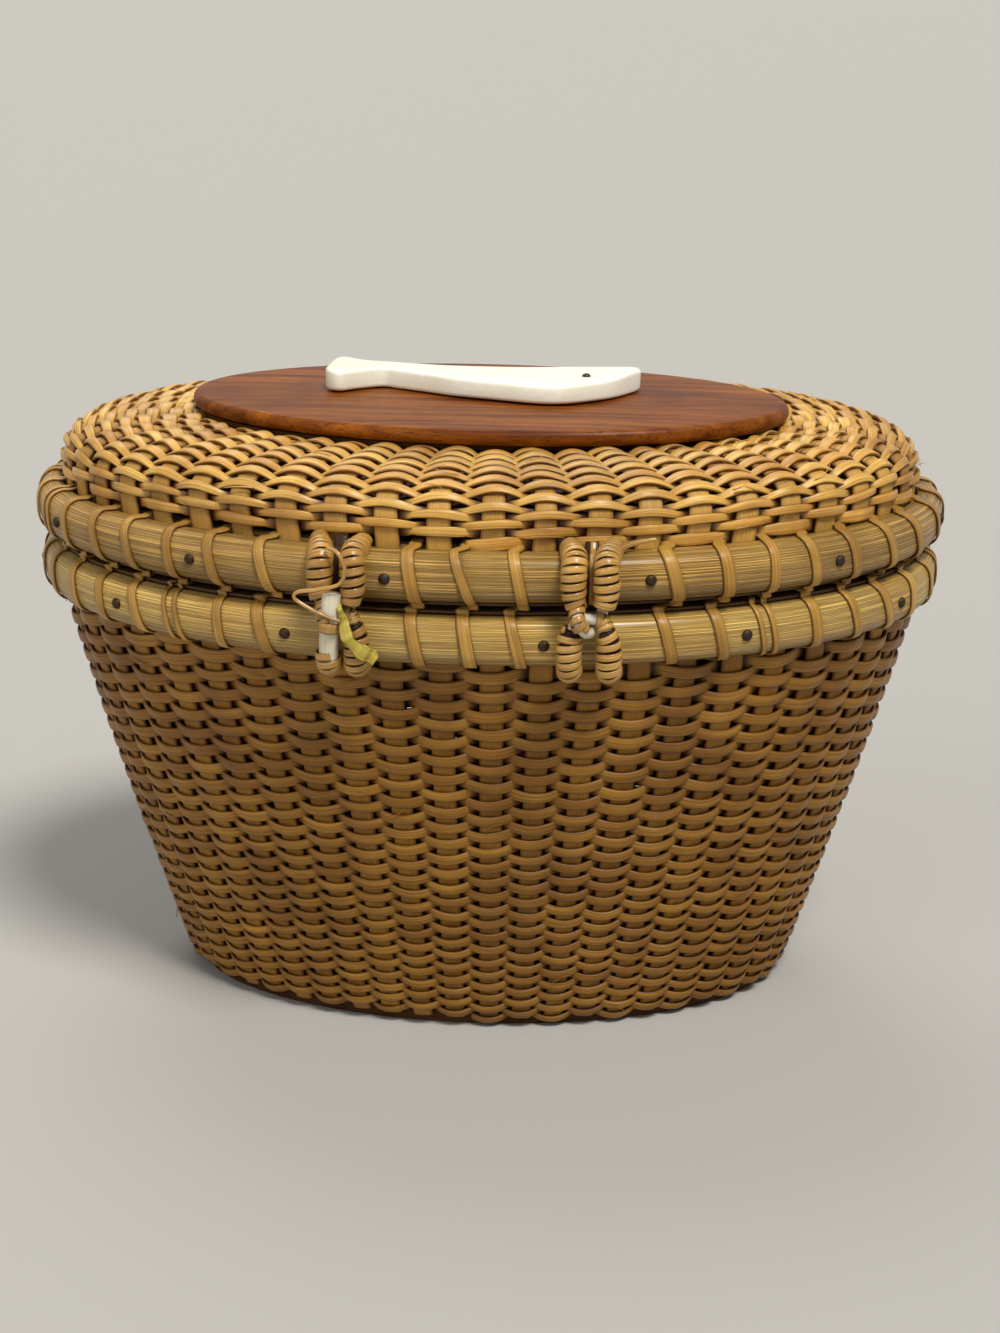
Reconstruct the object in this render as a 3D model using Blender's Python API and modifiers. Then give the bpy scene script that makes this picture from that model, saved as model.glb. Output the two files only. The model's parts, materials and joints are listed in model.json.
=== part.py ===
"""An oval lidded basket: woven walls between wood hoops, a lid on two cane hinges, and a wood plate with a
carved whale. X is the length, the hinges are at -Y, +Z is up and the base board's underside is at z = 0."""

import functools
import math

import bmesh
import bpy
from mathutils import Matrix, Vector

# The rim oval is the middle line of the wall between the hoops. Lengths are in metres.
RIM_HALF_LENGTH = 0.1185
RIM_HALF_WIDTH = 0.0795
STAVE_COUNT = 49
STAVE_WIDTH = 0.0065
WALL_THICKNESS = 0.0024
STAVE_RISE = 0.0006
WEAVE_SINK = 0.0010

# Gaps between neighbours. The wider one also takes up the facets of a curved hoop.
CLEARANCE = 0.0003
FACET_CLEARANCE = 0.0006

# Rims: the body's hoops stand below the parting, the lid's above it.
BODY_RIM_TOP = 0.1280
HOOP_HEIGHT = 0.0130
BODY_HOOP_THICKNESS = 0.0056
LID_HOOP_THICKNESS = 0.0066
INNER_HOOP_THICKNESS = 0.0042
HOOP_SHOULDER_SHARE = 0.62
HOOP_FLAT_SHARE = 0.44
CAP_THICKNESS = 0.0009
CAP_OVERHANG = 0.0030
SLOT_HEIGHT = 0.0042
STAVE_TIP_INSET = 0.0006

# Base board and body wall.
BASE_HALF_LENGTH = 0.0845
BASE_HALF_WIDTH = 0.0510
BASE_THICKNESS = 0.0080
BASE_GROOVE_HEIGHT = 0.0046
GROOVE_DEPTH = 0.0048
GROOVE_BITE = 0.0038
WALL_BEND = 0.0030
FLARE_POWER_SHARE = 1.1
BODY_ROW_SHARES = (0.16, 0.58)

# Lid disc, lid wall and plate.
DISC_HALF_LENGTH = 0.0800
DISC_HALF_WIDTH = 0.0430
DISC_THICKNESS = 0.0056
LID_RISE = 0.0186
LID_CREST = 0.0010
LID_DOME_SHARE = 3.2
LID_ROW_SHARES = (0.30, 0.66)
PLATE_HALF_LENGTH = 0.0835
PLATE_HALF_WIDTH = 0.0465
PLATE_THICKNESS = 0.0048
PLATE_ROUND = 0.0016
PLATE_TURN = math.radians(-3.5)

# Lashing strips: one stroke in each slot but those that the hinges use.
LASHING_WIDTH = 0.0028
LASHING_THICKNESS = 0.0008
LASHING_SHIFT = 0.0016
LASHING_TAIL = 0.0030

# Nails through the outer hoops.
NAIL_COUNT = 12
NAIL_STEP_COUNT = 4
BODY_FIRST_NAIL_COUNT = 1
LID_FIRST_NAIL_COUNT = 3
NAIL_HEAD_RADIUS = 0.0014
NAIL_HEAD_HEIGHT = 0.0008
NAIL_SHANK_RADIUS = 0.0006
NAIL_SHANK_LENGTH = 0.0030
NAIL_SIDES = 5

# Hinges: loops of bent reed, each leg wrapped with a cane strip.
HINGE_STAVE_COUNT = 2
CORE_RADIUS = 0.0015
UPPER_LEG_SPREAD = 0.0046
LOWER_LEG_SPREAD = 0.0066
UPPER_SLOT_SPREAD = 0.0056
UPPER_NECK_SPREAD = 0.0030
LOOP_BEND = 0.0024
LOOP_RISE = 0.0050
CORE_TAIL = 0.0062
LOOP_STEP_COUNT = 6
WRAP_WIDTH = 0.00125
WRAP_THICKNESS = 0.0007
WRAP_PITCH = 0.0017
WRAP_POINTS = 6

# Whale, its pins and its eye. The outline's shares are of its length and width, from the tail to the head.
WHALE_LENGTH = 0.0890
WHALE_WIDTH = 0.0310
WHALE_THICKNESS = 0.0058
WHALE_ROUND = 0.0020
WHALE_OUTLINE_SHARES = (
    (-0.498, -0.145), (-0.447, -0.229), (-0.397, -0.097), (-0.324, 0.052), (-0.267, -0.006), (-0.166, -0.142),
    (-0.076, -0.271), (0.058, -0.390), (0.182, -0.494), (0.260, -0.500), (0.328, -0.403), (0.427, -0.129),
    (0.500, 0.290), (0.497, 0.435), (0.440, 0.490), (0.294, 0.445), (0.103, 0.342), (-0.121, 0.297),
    (-0.301, 0.361), (-0.413, 0.432), (-0.470, 0.484), (-0.500, 0.371),
)
WHALE_PLACE_X = -0.0012
WHALE_PIN_SHARES = {"tail": (-0.270, 0.180), "head": (0.240, 0.000)}
WHALE_PIN_RADIUS = 0.0015
WHALE_PIN_HALF_LENGTH = 0.0026
EYE_RADIUS = 0.0013
EYE_DEPTH = 0.0012
EYE_SHARES = (0.322, -0.068)

# Screws that hold the plate from below.
SCREW_SPREAD = 0.0560
SCREW_HEAD_RADIUS = 0.0034
SCREW_HEAD_HEIGHT = 0.0020
SCREW_RADIUS = 0.0016
SCREW_BITE = 0.0030

CUT_OVERRUN = 0.0020
MERGE_DISTANCE = 0.00001
SMOOTH_ANGLE = math.radians(40)
ROUND_SIDES = 10
ARC_SAMPLES = 1440

# Heights and offsets worked out from the sizes above.
BODY_HOOP_BOTTOM = BODY_RIM_TOP - HOOP_HEIGHT
STRIP_LIFT = CLEARANCE + LASHING_THICKNESS / 2
CAP_GAP = 2 * CLEARANCE + LASHING_THICKNESS
LID_RIM_BOTTOM = BODY_RIM_TOP + CAP_GAP + 2 * (CLEARANCE + CAP_THICKNESS)
PARTING = (BODY_RIM_TOP + LID_RIM_BOTTOM) / 2
LID_HOOP_TOP = LID_RIM_BOTTOM + HOOP_HEIGHT
OUTER_HOOP_START = WALL_THICKNESS / 2 + FACET_CLEARANCE
INNER_HOOP_START = -WALL_THICKNESS / 2 - CLEARANCE
INNER_HOOP_END = INNER_HOOP_START - INNER_HOOP_THICKNESS
DISC_TOP = LID_HOOP_TOP + LID_RISE
DISC_BOTTOM = DISC_TOP - DISC_THICKNESS
DISC_GROOVE_HEIGHT = (DISC_TOP + DISC_BOTTOM) / 2
GROOVE_WIDTH = WALL_THICKNESS + 2 * CLEARANCE
PLATE_BOTTOM = DISC_TOP + CLEARANCE
PLATE_TOP = PLATE_BOTTOM + PLATE_THICKNESS
WHALE_BOTTOM = PLATE_TOP + CLEARANCE
WHALE_TOP = WHALE_BOTTOM + WHALE_THICKNESS
BODY_SLOT_HEIGHT = BODY_HOOP_BOTTOM - SLOT_HEIGHT / 2
LID_SLOT_HEIGHT = LID_HOOP_TOP + SLOT_HEIGHT / 2
WRAP_CENTRE_RADIUS = CORE_RADIUS + CLEARANCE + WRAP_THICKNESS / 2
WRAP_OUTER_RADIUS = CORE_RADIUS + CLEARANCE + WRAP_THICKNESS

# Colour, roughness and metallic value.
FINISHES = {
    "stave": ((0.42, 0.24, 0.09), 0.55, 0.0),
    "hoop": ((0.45, 0.27, 0.11), 0.50, 0.0),
    "cane": ((0.58, 0.34, 0.12), 0.40, 0.0),
    "board": ((0.30, 0.15, 0.06), 0.45, 0.0),
    "mahogany": ((0.24, 0.075, 0.028), 0.30, 0.0),
    "reed": ((0.80, 0.66, 0.44), 0.60, 0.0),
    "bone": ((0.83, 0.76, 0.60), 0.35, 0.0),
    "brass": ((0.30, 0.21, 0.10), 0.45, 0.8),
    "inlay": ((0.02, 0.02, 0.02), 0.30, 0.0),
}


@functools.lru_cache(maxsize=None)
def arc_table(half_length, half_width):
    """Lengths along an oval from its -Y point towards +X, at ARC_SAMPLES equal steps of its angle."""
    lengths = [0.0]
    before = Vector((0, -half_width))
    for step in range(1, ARC_SAMPLES + 1):
        angle = math.tau * step / ARC_SAMPLES
        here = Vector((half_length * math.sin(angle), -half_width * math.cos(angle)))
        lengths.append(lengths[-1] + (here - before).length)
        before = here
    return lengths


def perimeter(half_length, half_width):
    return arc_table(half_length, half_width)[-1]


def oval_at(half_length, half_width, turn):
    """Point, outward normal and tangent of an oval after a share of its perimeter from the -Y point."""
    lengths = arc_table(half_length, half_width)
    wanted = (turn % 1) * lengths[-1]
    low = 0
    high = ARC_SAMPLES
    while high - low > 1:
        middle = (low + high) // 2
        if lengths[middle] <= wanted:
            low = middle
        else:
            high = middle
    part = (wanted - lengths[low]) / (lengths[high] - lengths[low])
    angle = math.tau * (low + part) / ARC_SAMPLES
    point = Vector((half_length * math.sin(angle), -half_width * math.cos(angle), 0))
    tangent = Vector((half_length * math.cos(angle), half_width * math.sin(angle), 0)).normalized()
    normal = Vector((tangent.y, -tangent.x, 0))
    return point, normal, tangent


def rim_point(turn, offset, height, along=0.0):
    """Point at an offset outward from the rim oval, moved a length along the rim."""
    point, normal, tangent = oval_at(RIM_HALF_LENGTH, RIM_HALF_WIDTH, turn)
    return point + normal * offset + tangent * along + Vector((0, 0, height))


def rim_y(x, offset):
    """Y of the hinge side's rim oval at x, an offset outward from it."""
    slope = RIM_HALF_WIDTH * x / (RIM_HALF_LENGTH * math.sqrt(RIM_HALF_LENGTH**2 - x**2))
    return -RIM_HALF_WIDTH * math.sqrt(1 - (x / RIM_HALF_LENGTH) ** 2) - offset * math.sqrt(1 + slope**2)


def clear_scene():
    for thing in list(bpy.data.objects):
        bpy.data.objects.remove(thing, do_unlink=True)


def make_collection(name):
    collection = bpy.data.collections.new(name)
    bpy.context.scene.collection.children.link(collection)
    return collection


def make_material(name, colour, roughness, metallic):
    material = bpy.data.materials.new(name)
    material.use_nodes = True
    shader = material.node_tree.nodes["Principled BSDF"]
    shader.inputs["Base Color"].default_value = (*colour, 1)
    shader.inputs["Roughness"].default_value = roughness
    shader.inputs["Metallic"].default_value = metallic
    material.diffuse_color = (*colour, 1)
    return material


def add_object(name, data, finish=None, parent=None):
    """Adds an object: with a finish it is a part with its own material, without one it is a cutter."""
    thing = bpy.data.objects.new(name, data)
    if finish is None:
        CUTTERS.objects.link(thing)
        thing.hide_render = True
        thing.display_type = "WIRE"
        return thing
    PARTS.objects.link(thing)
    data.materials.append(make_material(name, *FINISHES[finish]))
    if isinstance(data, bpy.types.Mesh):
        data.shade_smooth()
        data.set_sharp_from_angle(angle=SMOOTH_ANGLE)
    if parent is not None:
        thing.parent = parent
        thing.matrix_parent_inverse = Matrix.Translation(-parent.location)
    return thing


def mesh_from(name, points, faces):
    mesh = bpy.data.meshes.new(name)
    mesh.from_pydata(points, [], faces)
    mesh.update()
    return mesh


def solidify(thing, thickness):
    modifier = thing.modifiers.new("thickness", "SOLIDIFY")
    modifier.thickness = thickness
    modifier.offset = 0
    modifier.use_even_offset = True


def curve_data(name, points, cyclic, dimensions):
    data = bpy.data.curves.new(name, "CURVE")
    data.dimensions = dimensions
    spline = data.splines.new("POLY")
    spline.points.add(len(points) - 1)
    for place, point in zip(spline.points, points):
        place.co = (*point, 1)
    spline.use_cyclic_u = cyclic
    return data


def mesh_of_curve(data):
    """The curve's closed mesh, with the caps joined to the sides. The curve itself is removed."""
    holder = bpy.data.objects.new(data.name, data)
    bpy.context.scene.collection.objects.link(holder)
    graph = bpy.context.evaluated_depsgraph_get()
    mesh = bpy.data.meshes.new_from_object(holder.evaluated_get(graph))
    bpy.data.objects.remove(holder, do_unlink=True)
    bpy.data.curves.remove(data)
    return weld(mesh)


def weld(mesh):
    edit = bmesh.new()
    edit.from_mesh(mesh)
    bmesh.ops.remove_doubles(edit, verts=edit.verts, dist=MERGE_DISTANCE)
    bmesh.ops.recalc_face_normals(edit, faces=edit.faces)
    edit.to_mesh(mesh)
    edit.free()
    return mesh


def ring_mesh(name, half_length, half_width, profile):
    """An oval ring: the profile's points are an offset outward from the oval and a height."""
    points = []
    faces = []
    count = len(profile)
    for stave in range(STAVE_COUNT):
        point, normal, _ = oval_at(half_length, half_width, (stave + 0.5) / STAVE_COUNT)
        for offset, height in profile:
            points.append(point + normal * offset + Vector((0, 0, height)))
    for stave in range(STAVE_COUNT):
        here = stave * count
        there = (stave + 1) % STAVE_COUNT * count
        for k in range(count):
            after = (k + 1) % count
            faces.append((here + k, there + k, there + after, here + after))
    return weld(mesh_from(name, points, faces))


def hoop_profile(thickness, bottom):
    """A half-round section: flat at the wall, rounded outside."""
    start = OUTER_HOOP_START
    middle = bottom + HOOP_HEIGHT / 2
    flat = HOOP_HEIGHT * HOOP_FLAT_SHARE / 2
    shoulder = start + thickness * HOOP_SHOULDER_SHARE
    return (
        (start, bottom),
        (shoulder, bottom),
        (start + thickness, middle - flat),
        (start + thickness, middle + flat),
        (shoulder, bottom + HOOP_HEIGHT),
        (start, bottom + HOOP_HEIGHT),
    )


def box_profile(inner, outer, bottom, top):
    return ((inner, bottom), (outer, bottom), (outer, top), (inner, top))


def cut(thing, cutter):
    modifier = thing.modifiers.new("cut " + cutter.name, "BOOLEAN")
    modifier.operation = "DIFFERENCE"
    modifier.solver = "EXACT"
    modifier.object = cutter


def oval_board(name, half_length, half_width, bottom, thickness, rounding, steps, finish, parent=None):
    """An oval board as a filled flat outline, with edges rounded in steps or, with no rounding, square."""
    outline = []
    for stave in range(STAVE_COUNT):
        point, _, _ = oval_at(half_length, half_width, (stave + 0.5) / STAVE_COUNT)
        outline.append(point)
    data = curve_data(name, outline, True, "2D")
    data.fill_mode = "BOTH"
    data.extrude = thickness / 2 - rounding
    data.bevel_depth = rounding
    data.bevel_resolution = steps
    data.offset = -rounding
    mesh = mesh_of_curve(data)
    mesh.transform(Matrix.Translation((0, 0, bottom + thickness / 2)))
    return add_object(name, mesh, finish, parent)


def cylinder(name, radius, bottom, top, x, y, sides=ROUND_SIDES):
    """A round bar as a mesh, standing on its base."""
    mesh = bpy.data.meshes.new(name)
    edit = bmesh.new()
    bmesh.ops.create_cone(
        edit, cap_ends=True, segments=sides, radius1=radius, radius2=radius, depth=top - bottom
    )
    bmesh.ops.translate(edit, verts=edit.verts, vec=(x, y, (top + bottom) / 2))
    edit.to_mesh(mesh)
    edit.free()
    return mesh


def groove_board(board, half_length, half_width, middle):
    """Cuts the groove that takes the stave ends into a board's edge."""
    half = GROOVE_WIDTH / 2
    profile = box_profile(-GROOVE_DEPTH, CUT_OVERRUN, middle - half, middle + half)
    cutter = add_object(board.name + "_groove", ring_mesh(board.name, half_length, half_width, profile))
    cut(board, cutter)


def faces_between(low, high):
    """Faces between two short lines of points. Where only one has a middle point, they fan out from it."""
    if len(low) == len(high):
        return [(low[k], low[k + 1], high[k + 1], high[k]) for k in range(len(low) - 1)]
    middle = max(low, high, key=len)[1]
    loop = low + high[::-1]
    start = loop.index(middle)
    loop = loop[start:] + loop[:start]
    return [(middle, one, other) for one, other in zip(loop[1:], loop[2:])]


def wall(name, rows, slot_rows, finish, parent=None):
    """A wall of weave, ribbed by its staves. Each row is an oval: half length, half width, height, how far the
    staves stand out and how far the weave sinks between them. In the slot rows only the staves stand."""
    share = STAVE_WIDTH / perimeter(RIM_HALF_LENGTH, RIM_HALF_WIDTH) / 2
    points = []
    lines = []
    for row, (half_length, half_width, height, rise, sink) in enumerate(rows):
        before = rows[max(row - 1, 0)]
        after = rows[min(row + 1, len(rows) - 1)]
        lean = Vector((after[2] - before[2], before[1] - after[1])).normalized()
        places = [(-share, rise), (share, rise)]
        if sink:
            places.append((0.5 / STAVE_COUNT, -sink))
        line = []
        for stave in range(STAVE_COUNT):
            for side, out in places:
                point, normal, _ = oval_at(half_length, half_width, (stave + 0.5) / STAVE_COUNT + side)
                line.append(len(points))
                points.append(point + normal * lean.x * out + Vector((0, 0, height + lean.y * out)))
        lines.append(line)
    faces = []
    for row, (low, high) in enumerate(zip(lines, lines[1:])):
        low_step = len(low) // STAVE_COUNT
        high_step = len(high) // STAVE_COUNT
        for stave in range(STAVE_COUNT):
            low_part = (low + low[:1])[stave * low_step:(stave + 1) * low_step + 1]
            high_part = (high + high[:1])[stave * high_step:(stave + 1) * high_step + 1]
            faces += faces_between(low_part[:2], high_part[:2])
            if row not in slot_rows:
                faces += faces_between(low_part[1:], high_part[1:])
    thing = add_object(name, mesh_from(name, points, faces), finish, parent)
    solidify(thing, WALL_THICKNESS)
    return thing


def body_rows():
    """The body wall from inside the base board's groove to the stave tips between the hoops."""
    middle = BASE_GROOVE_HEIGHT
    rows = []
    for offset, height in ((-GROOVE_BITE, middle), (CLEARANCE, middle), (WALL_BEND, middle + WALL_BEND / 2)):
        rows.append((BASE_HALF_LENGTH + offset, BASE_HALF_WIDTH + offset, height, 0, 0))
    foot_length, foot_width, low = rows[-1][:3]
    high = BODY_HOOP_BOTTOM - SLOT_HEIGHT
    for share in BODY_ROW_SHARES:
        out = 1 - (1 - share) ** FLARE_POWER_SHARE
        length = foot_length + (RIM_HALF_LENGTH - foot_length) * out
        width = foot_width + (RIM_HALF_WIDTH - foot_width) * out
        rows.append((length, width, low + (high - low) * share, STAVE_RISE, WEAVE_SINK))
    rows.append((RIM_HALF_LENGTH, RIM_HALF_WIDTH, high, 0, WEAVE_SINK))
    rows.append((RIM_HALF_LENGTH, RIM_HALF_WIDTH, BODY_RIM_TOP - STAVE_TIP_INSET, 0, 0))
    return rows


def lid_rows():
    """The lid wall from the stave tips between its hoops, over the dome, into the disc's groove."""
    low = LID_HOOP_TOP + SLOT_HEIGHT
    rows = [
        (RIM_HALF_LENGTH, RIM_HALF_WIDTH, LID_RIM_BOTTOM + STAVE_TIP_INSET, 0, 0),
        (RIM_HALF_LENGTH, RIM_HALF_WIDTH, low, 0, WEAVE_SINK),
    ]
    near_length = DISC_HALF_LENGTH + CLEARANCE
    near_width = DISC_HALF_WIDTH + CLEARANCE
    crest_length = near_length + WALL_BEND
    crest_width = near_width + WALL_BEND
    crest_height = DISC_GROOVE_HEIGHT + LID_CREST
    for share in LID_ROW_SHARES:
        angle = share * math.pi / 2
        run = 1 - math.cos(angle) ** (2 / LID_DOME_SHARE)
        rise = math.sin(angle) ** (2 / LID_DOME_SHARE)
        length = RIM_HALF_LENGTH + (crest_length - RIM_HALF_LENGTH) * run
        width = RIM_HALF_WIDTH + (crest_width - RIM_HALF_WIDTH) * run
        rows.append((length, width, low + (crest_height - low) * rise, STAVE_RISE, WEAVE_SINK))
    rows.append((crest_length, crest_width, crest_height, 0, 0))
    rows.append((near_length, near_width, DISC_GROOVE_HEIGHT, 0, 0))
    rows.append((DISC_HALF_LENGTH - GROOVE_BITE, DISC_HALF_WIDTH - GROOVE_BITE, DISC_GROOVE_HEIGHT, 0, 0))
    return rows


def ribbon(name, centres, directions, width, thickness, finish, parent):
    """A flat strip along the centres. Each direction is the strip's width direction there."""
    points = []
    for centre, direction in zip(centres, directions):
        points.append(centre - direction * width / 2)
        points.append(centre + direction * width / 2)
    faces = [(2 * k, 2 * k + 1, 2 * k + 3, 2 * k + 2) for k in range(len(centres) - 1)]
    thing = add_object(name, mesh_from(name, points, faces), finish, parent)
    solidify(thing, thickness)
    return thing


def least_gap(centres, skip, size):
    """Least distance between a strip's points and the segments at least skip steps on, less its size."""
    least = math.inf
    for k, point in enumerate(centres):
        for other in range(k + skip, len(centres) - 1):
            start = centres[other]
            run = centres[other + 1] - start
            share = min(1, max(0, (point - start).dot(run) / run.length_squared))
            least = min(least, (point - start - run * share).length)
    return least - size


def lashing(name, first, last, hoop_thickness, bottom, upward, shift, parent):
    """A cane strip bound round a rim: out through a slot, over the outer hoop and the cap, then back inside to
    the next slot. Upward is 1 where the slots lie below the hoops and -1 where they lie above."""
    middle = bottom + HOOP_HEIGHT / 2
    half = HOOP_HEIGHT / 2
    outside = OUTER_HOOP_START + hoop_thickness + STRIP_LIFT
    shoulder = OUTER_HOOP_START + hoop_thickness * HOOP_SHOULDER_SHARE
    inside = INNER_HOOP_END - FACET_CLEARANCE - LASHING_THICKNESS / 2
    flat = half * HOOP_FLAT_SHARE
    over = half + CLEARANCE + CAP_THICKNESS + STRIP_LIFT
    stroke = (
        (inside, -half - STRIP_LIFT),
        (shoulder, -half - STRIP_LIFT),
        (outside, -flat),
        (outside, flat),
        (shoulder, over),
        (inside, over),
    )
    centres = []
    directions = []
    slots = range(first, last + 1) if shift > 0 else range(last, first - 1, -1)
    for slot in slots:
        turn = slot / STAVE_COUNT
        tangent = oval_at(RIM_HALF_LENGTH, RIM_HALF_WIDTH, turn)[2]
        for offset, height in stroke:
            centres.append(rim_point(turn, offset, middle + upward * height, shift))
            directions.append(tangent)
    turn = slots[-1] / STAVE_COUNT
    centres.append(rim_point(turn, inside, middle + upward * (half - LASHING_TAIL), shift))
    directions.append(directions[-1])
    ribbon(name, centres, directions, LASHING_WIDTH, LASHING_THICKNESS, "cane", parent)
    print(name, "least gap to itself, mm:", round(1000 * least_gap(centres, len(stroke) - 1, LASHING_WIDTH), 2))


def wrap(name, x, y, low, high, parent):
    """A cane strip wound on a hinge leg, as many whole turns as fit between two heights."""
    turns = int((high - low - WRAP_WIDTH) / WRAP_PITCH)
    centres = []
    directions = []
    for k in range(turns * WRAP_POINTS + 1):
        angle = math.tau * k / WRAP_POINTS
        radial = Vector((math.cos(angle), math.sin(angle), 0))
        height = low + WRAP_WIDTH / 2 + WRAP_PITCH * k / WRAP_POINTS
        centres.append(Vector((x, y, height)) + radial * WRAP_CENTRE_RADIUS)
        directions.append(Vector((0, 0, 1)))
    ribbon(name, centres, directions, WRAP_WIDTH, WRAP_THICKNESS, "cane", parent)
    print(name, "least gap to itself, mm:", round(1000 * least_gap(centres, WRAP_POINTS - 1, WRAP_WIDTH), 2))


def rod(name, points, finish, parent):
    """Bent reed: a round tube along its points."""
    data = curve_data(name, points, False, "3D")
    data.bevel_depth = CORE_RADIUS
    data.bevel_resolution = 1
    data.use_fill_caps = True
    return add_object(name, data, finish, parent)


def hinge_axis_y(centre):
    """The bar's y: the legs' wraps just clear the lid hoop's face where it stands out most."""
    inner = abs(centre) - LOWER_LEG_SPREAD - WRAP_OUTER_RADIUS
    face = rim_y(inner, OUTER_HOOP_START + LID_HOOP_THICKNESS)
    return face - CLEARANCE - WRAP_OUTER_RADIUS


def hinge(side, centre, axis_y, lid):
    """Two linked loops. The lower loop's top bar is the pin, and the upper loop runs under it."""
    link = 2 * CORE_RADIUS + FACET_CLEARANCE / 2
    lower = []
    upper = []
    for way in (-1, 1):
        x = centre + way * LOWER_LEG_SPREAD
        leg = [
            Vector((x, rim_y(x, -CORE_TAIL), BODY_SLOT_HEIGHT)),
            Vector((x, axis_y + LOOP_BEND, BODY_SLOT_HEIGHT)),
            Vector((x, axis_y + LOOP_BEND / 3, BODY_SLOT_HEIGHT + LOOP_BEND / 3)),
            Vector((x, axis_y, BODY_SLOT_HEIGHT + LOOP_BEND)),
            Vector((x, axis_y, PARTING - LOOP_BEND)),
            Vector((x - way * LOOP_BEND / 3, axis_y, PARTING - LOOP_BEND / 3)),
            Vector((x - way * LOOP_BEND, axis_y, PARTING)),
        ]
        lower += leg if way < 0 else leg[::-1]
        slot_x = centre + way * UPPER_SLOT_SPREAD
        x = centre + way * UPPER_LEG_SPREAD
        leg = [
            Vector((slot_x, rim_y(slot_x, -CORE_TAIL), LID_SLOT_HEIGHT)),
            Vector((slot_x, axis_y + LOOP_BEND, LID_SLOT_HEIGHT)),
            Vector((slot_x, axis_y + LOOP_BEND / 3, LID_SLOT_HEIGHT - LOOP_BEND / 3)),
            Vector((x, axis_y, LID_SLOT_HEIGHT - LOOP_BEND)),
            Vector((x, axis_y, PARTING + LOOP_RISE)),
        ]
        if way < 0:
            upper += leg
            for k in range(LOOP_STEP_COUNT + 1):
                angle = math.pi + math.pi * k / LOOP_STEP_COUNT
                upper.append(
                    Vector((
                        centre + UPPER_NECK_SPREAD * (2 * k / LOOP_STEP_COUNT - 1),
                        axis_y + link * math.cos(angle),
                        PARTING + link * math.sin(angle),
                    ))
                )
        else:
            upper += leg[::-1]
        letter = "a" if way < 0 else "b"
        wrap(f"hinge_{side}_lower_wrap_{letter}", centre + way * LOWER_LEG_SPREAD, axis_y,
             BODY_SLOT_HEIGHT + LOOP_BEND, PARTING - LOOP_RISE, None)
        wrap(f"hinge_{side}_upper_wrap_{letter}", x, axis_y, PARTING + LOOP_RISE,
             LID_SLOT_HEIGHT - LOOP_BEND, lid)
    rod(f"hinge_{side}_lower_loop", lower, "reed", None)
    rod(f"hinge_{side}_upper_loop", upper, "reed", lid)


def turned_mesh(name, profile, sides):
    """A turned mesh from a profile of radius and height, listed from its top to its bottom."""
    outline = bpy.data.meshes.new(name)
    edges = [(k, k + 1) for k in range(len(profile) - 1)]
    outline.from_pydata([(radius, 0, height) for radius, height in profile], edges, [])
    holder = bpy.data.objects.new(name, outline)
    bpy.context.scene.collection.objects.link(holder)
    screw = holder.modifiers.new("turn", "SCREW")
    screw.steps = sides
    screw.render_steps = sides
    screw.use_merge_vertices = True
    screw.merge_threshold = MERGE_DISTANCE
    graph = bpy.context.evaluated_depsgraph_get()
    mesh = bpy.data.meshes.new_from_object(holder.evaluated_get(graph))
    bpy.data.objects.remove(holder, do_unlink=True)
    return weld(mesh)


def nails(prefix, hoop, hoop_thickness, middle, first, parent):
    """Round-headed nails in the outer hoop, each in its own hole."""
    head = NAIL_HEAD_HEIGHT + CLEARANCE
    profile = (
        (0, head),
        (NAIL_HEAD_RADIUS, CLEARANCE),
        (NAIL_SHANK_RADIUS, CLEARANCE),
        (NAIL_SHANK_RADIUS, -NAIL_SHANK_LENGTH),
        (0, -NAIL_SHANK_LENGTH),
    )
    shape = turned_mesh(prefix + "_nail", profile, NAIL_SIDES)
    face = OUTER_HOOP_START + hoop_thickness
    holes = bpy.data.meshes.new(prefix + "_nail_holes")
    edit = bmesh.new()
    for number in range(NAIL_COUNT):
        stave = first + number * NAIL_STEP_COUNT
        turn = (stave + 0.5) / STAVE_COUNT
        point, normal, tangent = oval_at(RIM_HALF_LENGTH, RIM_HALF_WIDTH, turn)
        place = point + normal * face + Vector((0, 0, middle))
        turned = normal.to_track_quat("Z", "Y").to_matrix().to_4x4()
        nail = add_object(f"{prefix}_nail_{number + 1:02d}", shape.copy(), "brass", parent)
        nail.data.transform(Matrix.Translation(place) @ turned)
        hole = Matrix.Translation(place - normal * (NAIL_SHANK_LENGTH - CUT_OVERRUN) / 2) @ turned
        radius = NAIL_SHANK_RADIUS + CLEARANCE
        depth = NAIL_SHANK_LENGTH + CLEARANCE + CUT_OVERRUN
        bmesh.ops.create_cone(edit, cap_ends=True, segments=NAIL_SIDES, radius1=radius, radius2=radius,
                              depth=depth, matrix=hole)
    edit.to_mesh(holes)
    edit.free()
    cut(hoop, add_object(prefix + "_nail_holes", holes))


def plate_place(x, y):
    """A place on the plate, which sits turned a little on the lid."""
    return Matrix.Rotation(PLATE_TURN, 2) @ Vector((x, y))


def whale_mesh():
    outline = []
    for x, y in WHALE_OUTLINE_SHARES:
        outline.append(Vector((x * WHALE_LENGTH, y * WHALE_WIDTH, 0)))
    data = curve_data("whale", outline, True, "2D")
    data.fill_mode = "BOTH"
    data.extrude = WHALE_THICKNESS / 2 - WHALE_ROUND
    data.bevel_depth = WHALE_ROUND
    data.bevel_resolution = 1
    data.offset = -WHALE_ROUND
    mesh = mesh_of_curve(data)
    mesh.transform(Matrix.Translation((WHALE_PLACE_X, 0, WHALE_BOTTOM + WHALE_THICKNESS / 2)))
    mesh.transform(Matrix.Rotation(PLATE_TURN, 4, "Z"))
    return mesh


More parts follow.
